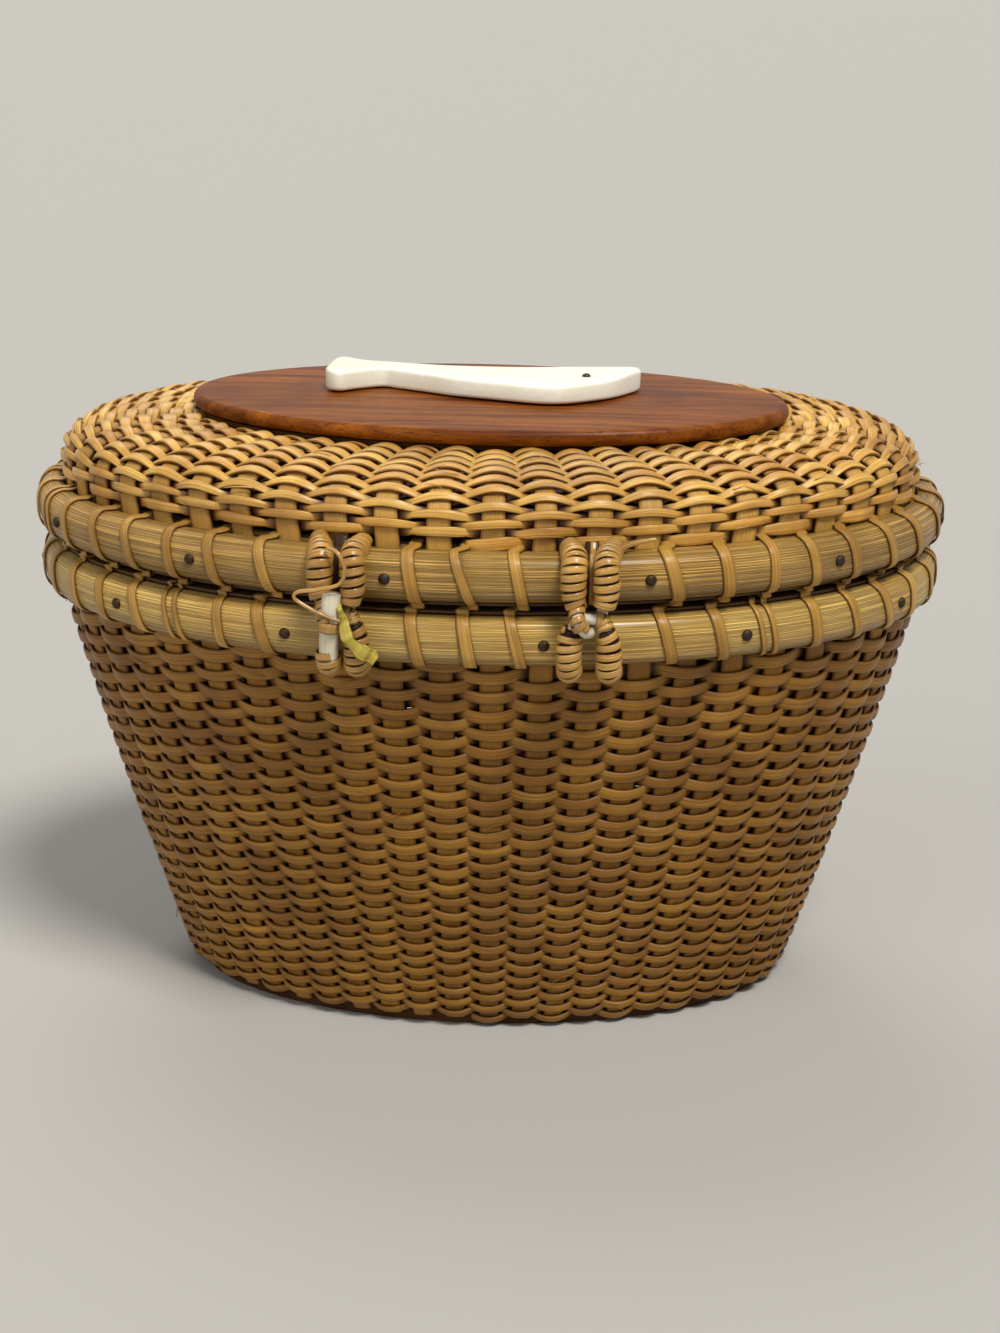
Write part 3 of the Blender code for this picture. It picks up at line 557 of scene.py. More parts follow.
def soil_group():
    """Old soiling: broad cloudy patches that follow the object's own space."""
    tree, nodes, source, target = new_group(
        "age patches",
        (("Patches per metre", "NodeSocketFloat", 40.0), ("Low", "NodeSocketFloat", 0.4),
         ("High", "NodeSocketFloat", 0.7)),
        (("Patch", "NodeSocketFloat"),),
    )
    place = nodes.add("ShaderNodeTexCoord").outputs["Object"]
    cloud = nodes.add(
        "ShaderNodeTexNoise",
        {"Vector": place, "Scale": source.outputs["Patches per metre"], "Detail": 4.0, "Roughness": 0.6},
    )
    patch = nodes.span(cloud.outputs["Fac"], source.outputs["Low"], source.outputs["High"])
    tree.links.new(patch, target.inputs["Patch"])
    return tree


STRAND_GRAIN = strand_group()
BOARD_FIGURE = figure_group()
AGE_PATCHES = soil_group()


def new_material(name, roughness, coat=0.0, specular=0.5):
    material = bpy.data.materials.new(name)
    material.use_nodes = True
    shader = material.node_tree.nodes["Principled BSDF"]
    shader.inputs["Roughness"].default_value = roughness
    shader.inputs["Coat Weight"].default_value = coat
    shader.inputs["Coat Roughness"].default_value = 0.25
    shader.inputs["Specular IOR Level"].default_value = specular
    return material, Nodes(material.node_tree), shader


def use_group(nodes, group, values):
    node = nodes.add("ShaderNodeGroup", node_tree=group)
    for name, value in values.items():
        node.inputs[name].default_value = value
    return node.outputs


def age_patch(nodes, per_metre, low, high):
    """How soiled the surface is: 0 below the low value of its clouds, 1 above the high one."""
    values = {"Patches per metre": per_metre, "Low": low, "High": high}
    return use_group(nodes, AGE_PATCHES, values)["Patch"]


def bump(nodes, shader, height, strength, distance):
    node = nodes.add("ShaderNodeBump", {"Height": height, "Strength": strength, "Distance": distance})
    nodes.tree.links.new(node.outputs["Normal"], shader.inputs["Normal"])


def cane_material(name, pale, golden, dark, roughness=0.42, streaks=2600.0, stretch=30.0, softness=0.15,
                  streak_share=0.55, patch_share=0.5, crevice=0.96, relief=0.25, coat=0.15, specular=0.3):
    """Cane or reed: pale and golden strands, dark fine streaks, soiled patches and painted shade where depth
    is low.
    """
    material, nodes, shader = new_material(name, roughness, coat, specular)
    strand = {"Streaks per metre": streaks, "Stretch": stretch, "Softness": softness}
    grain = use_group(nodes, STRAND_GRAIN, strand)
    patch = age_patch(nodes, 38.0, 0.42, 0.66)
    tone = nodes.math("MULTIPLY", grain["Tint"], 0.55)
    tone = nodes.math("ADD", tone, nodes.math("MULTIPLY", grain["Blotch"], 0.45), clamp=True)
    base = nodes.mix(tone, golden, pale)
    streak = nodes.math("MULTIPLY", nodes.math("SUBTRACT", 1.0, grain["Streak"]), streak_share)
    base = nodes.mix(streak, base, dark)
    base = nodes.mix(nodes.math("MULTIPLY", patch, patch_share), base, dark)
    # Painted shade: where the depth attribute is low the colour goes towards a near-black red-brown, for the
    # shade where a strand dives behind, at strip edges, just below crossing strands and on hoop undersides.
    depth = nodes.add("ShaderNodeAttribute", attribute_name="depth").outputs["Fac"]
    hidden = nodes.math("MULTIPLY", nodes.math("SUBTRACT", 1.0, depth), crevice)
    base = nodes.mix(hidden, base, (dark[0] * 0.28, dark[1] * 0.03, 0, 1))
    nodes.tree.links.new(base, shader.inputs["Base Color"])
    # The coat follows the same depth, so the painted shade also holds back reflections.
    nodes.tree.links.new(nodes.math("MULTIPLY", depth, coat), shader.inputs["Coat Weight"])
    bump(nodes, shader, grain["Height"], relief, 0.0004)
    return material


def board_material(name, pale, red, dark, roughness, coat=0.0):
    """Boards with straight figure and dark pores."""
    material, nodes, shader = new_material(name, roughness, coat, specular=0.1)
    wood = use_group(nodes, BOARD_FIGURE, {"Bands per metre": 260.0, "Pores per metre": 2400.0})
    patch = age_patch(nodes, 26.0, 0.45, 0.72)
    base = nodes.mix(wood["Figure"], red, pale)
    base = nodes.mix(nodes.math("MULTIPLY", wood["Pores"], 0.5), base, dark)
    base = nodes.mix(nodes.math("MULTIPLY", patch, 0.45), base, dark)
    nodes.tree.links.new(base, shader.inputs["Base Color"])
    bump(nodes, shader, wood["Height"], 0.1, 0.0003)
    return material


def bone_material():
    """Polished bone: ivory with faint cream clouds and thin pores."""
    material, nodes, shader = new_material("polished bone", 0.34, coat=0.2)
    patch = age_patch(nodes, 55.0, 0.4, 0.75)
    wood = use_group(nodes, BOARD_FIGURE, {"Bands per metre": 500.0, "Pores per metre": 3000.0})
    base = nodes.mix(patch, linear(255, 254, 238), linear(246, 242, 216))
    base = nodes.mix(nodes.math("MULTIPLY", wood["Pores"], 0.22), base, linear(206, 192, 148))
    nodes.tree.links.new(base, shader.inputs["Base Color"])
    bump(nodes, shader, patch, 0.06, 0.0008)
    return material


def metal_material():
    """Aged brass of the nails, pins and screws."""
    material, nodes, shader = new_material("aged brass", 0.5)
    patch = age_patch(nodes, 700.0, 0.35, 0.65)
    base = nodes.mix(patch, linear(70, 50, 28), linear(20, 13, 7))
    nodes.tree.links.new(base, shader.inputs["Base Color"])
    nodes.tree.links.new(nodes.math("SUBTRACT", 1.0, patch, clamp=True), shader.inputs["Metallic"])
    return material


def inlay_material():
    """Near-black inlay of the eye."""
    material, nodes, shader = new_material("dark inlay", 0.3)
    patch = age_patch(nodes, 900.0, 0.4, 0.7)
    base = nodes.mix(patch, linear(22, 20, 19), linear(40, 36, 32))
    nodes.tree.links.new(base, shader.inputs["Base Color"])
    return material


# The body's cane is darker than the lid's: partly the cane's own tone, partly painted shade for the body's
# wall, which faces down, and painted light for the lid, which faces up.
BODY_CANE = cane_material(
    "body cane", linear(184, 134, 46), linear(140, 92, 22), linear(74, 32, 1), patch_share=0.4, coat=0.08,
)
LID_CANE = cane_material(
    "lid cane", linear(252, 208, 108), linear(220, 158, 60), linear(120, 64, 8),
    roughness=0.34, coat=0.25, specular=0.4,
)
# The body's staves are a little lighter than its weavers: painted light to make up for the shade the staves
# sit in under the strands.
STAVE_WOOD = cane_material(
    "stave wood", linear(188, 136, 52), linear(148, 100, 30), linear(84, 44, 4),
    roughness=0.55, streaks=3200.0, stretch=60.0, streak_share=0.3, coat=0.05,
)
LID_STAVE_WOOD = cane_material(
    "lid stave wood", linear(232, 184, 96), linear(196, 144, 60), linear(112, 68, 12),
    roughness=0.55, streaks=3200.0, stretch=60.0, streak_share=0.3, coat=0.05,
)
# The body hoop's colours are paler than the lid hoop's: painted light for the body hoop, which the lid hoop
# above holds in shade.
BODY_HOOP_WOOD = cane_material(
    "body hoop wood", linear(255, 230, 138), linear(255, 198, 92), linear(108, 56, 6),
    roughness=0.36, streaks=3000.0, stretch=12.0, softness=0.1, streak_share=0.58, patch_share=0.12,
    crevice=0.7, relief=1.0, coat=0.4, specular=0.45,
)
LID_HOOP_WOOD = cane_material(
    "lid hoop wood", linear(255, 208, 110), linear(212, 152, 62), linear(58, 27, 1),
    roughness=0.36, streaks=3000.0, stretch=12.0, softness=0.1, streak_share=0.66, patch_share=0.25,
    crevice=0.75, relief=1.0, coat=0.35, specular=0.4,
)
LASHING_CANE = cane_material(
    "lashing cane", linear(214, 168, 84), linear(180, 132, 54), linear(100, 62, 12),
    roughness=0.4, crevice=0.9, relief=0.1, coat=0.12,
)
CAP_CANE = cane_material(
    "cap cane", linear(104, 70, 26), linear(76, 46, 12), linear(40, 20, 2), roughness=0.5,
)
WRAP_CANE = cane_material(
    "hinge cane", linear(238, 192, 108), linear(196, 144, 64), linear(92, 52, 8),
    roughness=0.24, relief=0.15, coat=0.45,
)
GREEN_CANE = cane_material(
    "torn cane", linear(244, 230, 124), linear(208, 186, 74), linear(130, 104, 24), roughness=0.4,
)
REED = cane_material(
    "bare reed", linear(246, 242, 226), linear(228, 220, 190), linear(150, 128, 84),
    roughness=0.7, streak_share=0.3, patch_share=0.15,
)
# The wound legs' reed is near black: painted shade for the core seen in the gaps between the windings; the
# same reed shows pale where bare, and the strip between the upper legs takes this dark colour too.
CORE_REED = cane_material(
    "wound reed", linear(74, 44, 14), linear(54, 30, 8), linear(28, 12, 1), roughness=0.8,
)
MAHOGANY = board_material(
    "mahogany", linear(152, 84, 16), linear(98, 44, 4), linear(32, 10, 0), 0.42, coat=0.08,
)
# Board wood of the base and the disc, kept dark: partly the wood's own tone, partly painted shade for the
# base's edge in the contact shadow under the flared wall.
BOARD_WOOD = board_material("board wood", linear(84, 54, 26), linear(64, 38, 16), linear(32, 18, 6), 0.6)
BONE = bone_material()
BRASS = metal_material()
INLAY = inlay_material()


# The woven walls.

BODY_WALL = Wall(body_rows())
LID_WALL = Wall(lid_rows(), LID_GATHER)


def share_at_height(wall, height):
    """The share of a wall's slope at a height."""
    return float(np.interp(height, wall.grid[:, 0, 2], np.linspace(0, 1, len(wall.grid))))


class Weaver:
    """One strand wound turn on turn, over and under a wall's staves, between two shares of its slope.

    The spread is the growth of its pitch from the first turn to the last, and the first turns lie further
    apart by the looseness. Outside a stave it sags by the sag. Its widths are shares of the pitch, at both
    ends, and it is wider between staves by the waist, a share too. The unevenness is how far its passes
    stray."""

    def __init__(self, wall, turns, shares, spread, looseness, swing, sag, widths, waist, unevenness):
        self.wall = wall
        self.turns = turns
        self.shares = shares
        self.spread = spread
        self.looseness = looseness
        self.swing = swing
        self.sag = sag
        self.widths = widths
        self.waist = waist
        self.unevenness = unevenness

    def places(self, wound):
        """Shares of the wall's slope, and the strand's widths, at turns wound."""
        part = wound / self.turns
        run = self.shares[1] - self.shares[0]
        even = part * (1 + self.spread * (part - 1))
        fading = np.exp(-part / LOOSE_SHARE)
        share = self.shares[0] + run * (even * (1 - self.looseness) + self.looseness * (1 - fading))
        growth = (1 + self.spread * (2 * part - 1)) * (1 - self.looseness)
        growth = growth + self.looseness / LOOSE_SHARE * fading
        pitch = self.wall.slope * run / self.turns * growth
        return share, pitch * (self.widths[0] + (self.widths[1] - self.widths[0]) * part)

    def droop(self, wound):
        """How far passes outside the staves sag at turns wound: less at the foot."""
        return self.sag * (0.35 + 0.65 * np.clip(wound / self.turns * 4, 0, 1))

    def openness(self, stave, shares):
        """How open a stave lies at shares of the slope: painted shadow just below each strand that passes
        outside.
        """
        rounds = np.arange(self.turns)
        wound = rounds[(rounds * STAVES + stave) % 2 == 0] + (stave + 0.5) / STAVES
        places, widths = self.places(wound)
        edges = places * self.wall.slope + self.droop(wound) - widths / 2
        below = edges[None] - (shares * self.wall.slope)[:, None]
        nearest = np.where(below < -0.15 * MM, 1.0, below).min(axis=1)
        return 1 - STRAND_SHADOW * np.exp(-np.clip(nearest, 0, None) / STRAND_SHADOW_REACH)

    def wind(self, seed):
        """Works out the strand's centres, directions, widths and depths all the way up."""
        steps = STAVES * STEPS_PER_STAVE
        wound = np.arange(self.turns * steps + 1) / steps
        place = wound * STAVES
        share, width = self.places(wound)
        wave = np.cos(math.pi * (place - 0.5))
        flat = np.sign(wave) * np.abs(wave) ** PASS_FLATNESS
        cells = self.turns * STAVES
        offset = self.swing * flat * (1 + smooth_random(place, cells, SWING_SPREAD))
        shift = self.droop(wound) * wave + smooth_random(place, cells, self.unevenness)
        points, outs, ups = self.wall.at(wound % 1, share)
        self.centres = points + outs * offset[:, None] + ups * shift[:, None]
        self.outs = outs
        self.ups = ups
        shape = 1.0 + OUTSIDE_SWELL * np.clip(wave, 0, 1) ** 0.8 + INSIDE_SWELL * np.clip(-wave, 0, 1)
        shape = shape + self.waist * (1 - np.abs(wave)) ** 2
        self.width = width * shape * (1 + smooth_random(place, cells, WIDTH_SPREAD))
        # Painted shade: the strand's colour darkens as it dives inside behind the staves.
        self.depth = np.clip((flat + 0.60) / 0.45, 0, 1)
        self.seeds = seed + np.floor(place / STAVES_PER_TINT)

    def band(self, first_turn, last_turn):
        """The strand's strips from one turn to another."""
        steps = STAVES * STEPS_PER_STAVE
        part = slice(first_turn * steps, last_turn * steps + 1)
        centres = self.centres[part]
        tangents = unit(np.gradient(centres, axis=0))
        outs = unit(np.cross(self.ups[part], tangents))
        outs = outs * np.sign(np.sum(outs * self.outs[part], axis=1))[:, None]
        acrosses = np.cross(tangents, outs)
        strips = Strips()
        strips.add(centres, outs, acrosses, self.width[part] / 2, WEAVER_THICKNESS, SPLIT_CANE,
                   self.seeds[part], depth=self.depth[part])
        return strips


def stave_strips(weaver, low_width, high_width, steps, seed):
    """The wall's staves, with painted shadow just below each strand that crosses them."""
    strips = Strips()
    shares = np.linspace(0, 1, steps)
    for stave in range(STAVES):
        turns = np.full(steps, (stave + 0.5) / STAVES)
        centres, outs, ups = weaver.wall.at(turns, shares)
        acrosses = np.cross(ups, outs)
        widths = low_width + (high_width - low_width) * shares
        widths = widths * (1 + rng.normal(0, STAVE_WIDTH_SPREAD))
        centres = centres + acrosses * rng.normal(0, STAVE_STRAY)
        strips.add(centres, outs, acrosses, widths / 2, STAVE_THICKNESS, FLAT_STRIP, seed + stave,
                   depth=weaver.openness(stave, shares))
    return strips


def loose_fibres(weaver, count, seed):
    """Slivers that have sprung from the strand: each starts on it and lifts off."""
    strips = Strips()
    steps = np.linspace(0, 1, 12)
    for number in range(count):
        cell = int(rng.uniform(STAVES, (weaver.turns - 1) * STAVES))
        turn, stave = divmod(cell, STAVES)
        cell += (turn * STAVES + stave) % 2
        way = rng.choice((-1, 1))
        reach = rng.uniform(3.0, 8.0) * MM
        wound = (cell + 0.5 - way * 0.3) / STAVES
        share, width = weaver.places(np.full(len(steps), wound))
        curl = rng.normal(0, 1.4 * MM) / weaver.wall.slope
        start = rng.uniform(-0.35, 0.35) * width / weaver.wall.slope
        turns = (wound + way * steps * reach / RIM_LENGTH) % 1
        points, outs, _ = weaver.wall.at(turns, share + start + curl * steps**2)
        lift = weaver.swing + 0.5 * MM + rng.uniform(0.1, 1.3) * MM * steps**2
        points = points + outs * lift[:, None]
        fronts, acrosses = frames_along(points, outs)
        halves = rng.uniform(0.15, 0.3) * MM * (1 - 0.7 * steps)
        strips.add(points, fronts, acrosses, halves, 0.14 * MM, FLAT_STRIP, seed + number)
    return strips


def make_wall(prefix, weaver, widths, steps, edges, names, cane, stave_wood, fibres, body, seed):
    """A wall's staves, its weave in bands of turns, and the slivers that stand off it."""
    weaver.wind(seed + 100)
    pieces = [stave_strips(weaver, *widths, steps, seed).make(f"{prefix}_staves", stave_wood)]
    for name, first, last in zip(names, edges, edges[1:]):
        pieces.append(weaver.band(first, last).make(f"{prefix}_weave_{name}", cane))
    pieces.append(loose_fibres(weaver, fibres, seed + 200).make(f"{prefix}_loose_fibres", cane))
    for piece in pieces:
        finish_piece(piece, body, "woven_cane", f"{prefix}_wall")


# The rims.

def ring_of(profile, seed, shades=1.0, segments=392):
    """Sweeps a section of offsets and heights once round the rim. The shades are painted shade: below 1
    darkens a point.
    """
    profile = np.array(profile)
    turns = np.arange(segments) / segments
    points, normals = oval_points(RIM_HALF_LENGTH, RIM_HALF_WIDTH, turns)
    rings = points[:, None] + normals[:, None] * profile[:, 0][None, :, None]
    rings[..., 2] = profile[:, 1][None]
    shape = rings.shape[:2]
    along = np.broadcast_to(distances(points)[:, None], shape)
    across = np.broadcast_to(distances(profile)[None], shape)
    strips = Strips()
    marks = np.stack([along, across, np.full(shape, seed)], -1)
    strips.add_rings(rings, marks, np.broadcast_to(shades, shape), loop=True)
    return strips


def half_round(thickness, bottom, top, steps=22):
    """A hoop's section: flat at the wall and full outside."""
    middle = (bottom + top) / 2
    half = (top - bottom) / 2
    points = []
    for k in range(steps + 1):
        angle = -math.pi / 2 + math.pi * k / steps
        out = abs(math.cos(angle)) ** (2 / HOOP_FULLNESS)
        rise = math.copysign(abs(math.sin(angle)) ** (2 / HOOP_FULLNESS), angle)
        points.append((HOOP_FACE + thickness * out, middle + half * rise))
    return points


def soft_box(inner, outer, bottom, top, rounding=0.7 * MM):
    """A flat hoop's section, with rounded corners."""
    points = []
    for centre_x, centre_z, start in (
        (outer - rounding, bottom + rounding, -90), (outer - rounding, top - rounding, 0),
        (inner + rounding, top - rounding, 90), (inner + rounding, bottom + rounding, 180),
    ):
        for k in range(4):
            angle = math.radians(start + 30 * k)
            points.append((centre_x + rounding * math.cos(angle), centre_z + rounding * math.sin(angle)))
    return points


def stroke_path(thickness, bottom, top, upward):
    """A lashing stroke's offsets and heights: from inside the slot, over both hoops, and back inside."""
    outside = half_round(thickness + LASHING_LIFT, bottom - LASHING_LIFT, top + LASHING_LIFT)
    if upward > 0:
        near = bottom - 0.9 * MM
        far = top + CAP_THICKNESS + 0.75 * MM
    else:
        outside = outside[::-1]
        near = top + 0.9 * MM
        far = bottom - CAP_THICKNESS - 0.75 * MM
    return np.array([
        (INNER_HOOP_END - 0.6 * MM, near),
        (0.0, near),
        *outside[1:-1],
        (HOOP_FACE + 0.4 * thickness, far),
        (INNER_HOOP_END + 0.6 * MM, far),
        (INNER_HOOP_END - 0.6 * MM, far - upward * 1.4 * MM),
        (INNER_HOOP_END - 0.65 * MM, near),
    ])


def lashing_stroke(path, slot, lean, stray):
    """A stroke's points, outward and across directions. It leans along the rim on the hoop's face."""
    offsets, heights = path.T
    middle = (heights.max() + heights.min()) / 2
    height_share = (heights - middle) / (heights.max() - heights.min())
    outside = np.clip((offsets - HOOP_FACE) / (2 * MM), 0, 1)
    turns = slot / STAVES + (stray - lean * height_share * outside) / RIM_LENGTH
    points, normals = rim_points(turns, offsets, heights)
    tangents = unit(np.gradient(points, axis=0))
    around = unit(np.cross(np.array([0, 0, 1.0]), normals))
    acrosses = unit(around - tangents * np.sum(around * tangents, axis=1)[:, None])
    outs = unit(np.cross(acrosses, tangents))
    inside = rim_points(turns, np.zeros(len(turns)), np.full(len(turns), middle))[0]
    flip = np.where(np.sum(outs * (points - inside), axis=1) < 0, -1, 1)
    return points, outs * flip[:, None], acrosses


def make_lashings(prefix, thickness, bottom, top, upward, body, seed):
    """The rim's lashing, one stroke or two narrow ones in each gap between staves."""
    strips = Strips()
    path = stroke_path(thickness, bottom, top, upward)
    length = distances(path)
    fine = np.linspace(0, length[-1], 64)
    path = np.stack([np.interp(fine, length, path[:, k]) for k in range(2)], -1)
    for slot in range(STAVES):
        if slot in HINGE_SLOTS:
            continue
        lean = LASHING_LEAN + rng.normal(0, LASHING_LEAN_SPREAD)
        stray = rng.normal(0, LASHING_STRAY)
        width = LASHING_WIDTH * rng.normal(1, 0.07)
        if rng.random() < PAIRED_LASHINGS:
            strokes = ((stray - 1.9 * MM, width * 0.5), (stray + 1.4 * MM, width * 0.55))
        else:
            strokes = ((stray, width),)
        for shift, wide in strokes:
            points, outs, acrosses = lashing_stroke(path, slot, lean, shift)
            strips.add(points, outs, acrosses, wide / 2, LASHING_THICKNESS, FLAT_STRIP, seed + slot)
    piece = strips.make(f"{prefix}_lashings", LASHING_CANE)
    names = [f"{prefix}_lashing_{part}" for part in ("middle", "right", "left")]
    finish_piece(piece, body, "cane_strip", *names)


def make_rim(prefix, thickness, upward, wood, body, seed):
    """A rim's outer and inner hoops, its lashing, the cap strip between the hoops, and the nails."""
    low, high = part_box(f"{prefix}_outer_hoop")
    section = half_round(thickness, low.z, high.z)
    # Painted shade: the outer hoop's colour darkens towards its underside.
    shades = np.interp(np.linspace(0, 1, len(section)), (0.1, 0.6), (HOOP_UNDERSIDE_SHADE, 1.0))
    hoop = ring_of(section, seed, shades).make(f"{prefix}_hoop_outside", wood)
    finish_piece(hoop, body, "hoop_wood", f"{prefix}_outer_hoop")
    make_lashings(prefix, thickness, low.z, high.z, upward, body, seed + 10)
    low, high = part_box(f"{prefix}_inner_hoop")
    inner = ring_of(soft_box(INNER_HOOP_END, INNER_HOOP_START, low.z, high.z), seed + 1)
    finish_piece(inner.make(f"{prefix}_hoop_inside", wood), body, "hoop_wood", f"{prefix}_inner_hoop")
    low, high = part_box(f"{prefix}_rim_cap")
    outer = HOOP_FACE + CAP_SHOWN
    cap = ring_of(soft_box(INNER_HOOP_START - CAP_OVERHANG, outer, low.z, high.z, 0.3 * MM), seed + 2)
    finish_piece(cap.make(f"{prefix}_cap_strip", CAP_CANE), body, "cane_strip", f"{prefix}_rim_cap")
    nail_heads(prefix, body)


def nail_heads(prefix, body):
    """Domed heads of the hoop nails, each where its node is."""
    strips = Strips()
    upright = np.array([0, 0, 1.0])
    names = [f"{prefix}_nail_{k:02d}" for k in range(1, NAILS_PER_HOOP + 1)]
    for number, name in enumerate(names):
        low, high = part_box(name)
        centre = np.array((low + high) / 2)
        out = unit(np.array([centre[0] / RIM_HALF_LENGTH**2, centre[1] / RIM_HALF_WIDTH**2, 0]))
        side = np.cross(upright, out)
        corners = [np.array((x, y, 0)) for x in (low.x, high.x) for y in (low.y, high.y)]
        reach = max(np.dot(corner - centre * (1, 1, 0), out) for corner in corners)
        tip = centre + out * reach * 0.8
        rings = []
        for radius, rise in NAIL_RADIUS_AND_RISE:
            ring = []
            for k in range(16):
                angle = math.tau * k / 16
                spoke = side * math.cos(angle) + upright * math.sin(angle)
                ring.append(tip + out * (rise - 0.5) * MM + spoke * radius * MM)
            rings.append(ring)
        rings = np.array(rings)
        strips.add_rings(rings, np.zeros(rings.shape) + number, np.ones(rings.shape[:2]))
    finish_piece(strips.make(f"{prefix}_nail_heads", BRASS), body, "brass_fastener", *names)


# Hinges.

def rod(strips, points, radius, seed, hint=(0, 1, 0.01)):
    """A round reed along points. Its radius is one number, or one for each of its rings."""
    path = curve_through(points, ROD_RINGS)
    outs, acrosses = frames_along(path, hint)
    strips.add(path, outs, acrosses, radius, 2 * radius, ROUND_ROD, seed)


def winding(strips, points, seed, radius, pitch, width, covered=1.0, ends=(1.0, 1.0)):
    """A flat strip wound on a leg along its points, over the covered share of it. Its turns lie evenly along
    the outer side of the leg's bends. The ends are the radius's shares at the leg's start and end."""
    path = curve_through(points, 400)
    inside = (path[0] + path[-1]) / 2
    away = path - inside
    tangents = unit(np.gradient(path, axis=0))
    outer = path + unit(away - tangents * np.sum(away * tangents, axis=1)[:, None]) * radius
    length = distances(outer)
    wanted = np.linspace(0, covered * length[-1], int(length[-1] / pitch * 22))
    spine = np.stack([np.interp(wanted, length, path[:, k]) for k in range(3)], -1)
    outs, acrosses = frames_along(spine, (1, 0, 0.01))
    turns = wanted / pitch
    angle = math.tau * turns
    radials = outs * np.cos(angle)[:, None] + acrosses * np.sin(angle)[:, None]
    wobble = 1 + smooth_random(turns, int(turns.max()) + 2, 0.035)
    swell = ends[0] + (1 - ends[0]) * np.clip(wanted / (7 * MM), 0, 1)
    swell = np.minimum(swell, ends[1] + (1 - ends[1]) * np.clip((wanted[-1] - wanted) / (5 * MM), 0, 1))
    centres = spine + radials * (radius * wobble * swell)[:, None]
    side = unit(np.cross(unit(np.gradient(centres, axis=0)), radials))
    widths = width * (1 + smooth_random(turns, int(turns.max()) + 2, 0.06))
    strips.add(centres, radials, side, widths / 2, WINDING_THICKNESS, FLAT_STRIP, seed)


def loose_strip(strips, points, widths, seed, hint=(0, 1, 0.01), crumple=0.03):
    """A flat strip that has come loose, with its widths from its first end to its last."""
    path = curve_through(points, ROD_RINGS)
    outs, acrosses = frames_along(path, hint)
    along = np.linspace(0, 1, len(path))
    rough = smooth_random(along * 9, 10, crumple)
    halves = np.interp(along, np.linspace(0, 1, len(widths)), widths) / 2 * (1 + rough)
    path = path + outs * (smooth_random(along * 12, 13, crumple) * 3 * MM)[:, None]
    strips.add(path, outs, acrosses, halves, LOOSE_STRIP_THICKNESS, FLAT_STRIP, seed)


def rim_y(x, offset):
    """The hinge side's place along Y at an offset from the rim's oval."""
    slope = RIM_HALF_WIDTH * x / (RIM_HALF_LENGTH * math.sqrt(RIM_HALF_LENGTH**2 - x**2))
    return -RIM_HALF_WIDTH * math.sqrt(1 - (x / RIM_HALF_LENGTH) ** 2) - offset * math.sqrt(1 + slope**2)


def leg_core(strips, points, seed):
    """A leg's reed, slimmer where it goes through the wall and at the link."""
    shares = (LEG_SLIMNESS, 1.0, 1.0, LEG_SLIMNESS)
    radii = LEG_CORE * np.interp(np.linspace(0, 1, ROD_RINGS), (0.3, 0.5, 0.8, 1.0), shares)
    rod(strips, points, radii, seed, hint=(1, 0, 0.01))


def upper_leg(core, wound, centre, way, pitch, seed):
    """A wound leg of the lid's loop, from inside the lid's wall over the hoop's face to the link."""
    slot_height = LID_HOOP_TOP + 0.5 * MM
    slot_x = centre + way * SLOT_SPREAD
    x = centre + way * UPPER_SPREAD
    points = [
        (slot_x, rim_y(slot_x, -7 * MM), slot_height),
        (slot_x, rim_y(slot_x, 2 * MM), slot_height + 0.5 * MM),
        (x, LEG_Y + 2.8 * MM, slot_height - 0.5 * MM),
        (x, LEG_Y + 0.3 * MM, slot_height - 3.4 * MM),
        (x, LEG_Y, HINGE_Z + 6 * MM),
        (x - way * 0.8 * MM, LEG_Y, HINGE_Z + 3.1 * MM),
    ]
    winding(wound, points[1:], seed, WINDING_RADIUS, pitch, pitch - WINDING_GAP, ends=LEG_ENDS)
    leg_core(core, points, seed + 1)


def lower_leg(core, wound, x, way, covered, seed):
    """A wound leg of the body's loop, from inside the body's wall up over the hoop's face to the link."""
    slot_height = BODY_HOOP_BOTTOM + 0.6 * MM
    points = [
        (x, rim_y(x, -7 * MM), slot_height),
        (x, rim_y(x, 2 * MM), slot_height - 0.4 * MM),
        (x, LEG_Y + 2.4 * MM, slot_height + 0.2 * MM),
        (x, LEG_Y + 0.2 * MM, slot_height + 2.8 * MM),
        (x, LEG_Y, HINGE_Z - 6 * MM),
        (x - way * 0.8 * MM, LEG_Y, HINGE_Z - 2.9 * MM),
    ]
    ends = LEG_ENDS if covered == 1.0 else (LEG_ENDS[0], 1.0)
    winding(wound, points[1:], seed, WINDING_RADIUS, LOWER_PITCH, LOWER_PITCH - WINDING_GAP, covered, ends)
    leg_core(core, points, seed + 1)
    return points[-1]


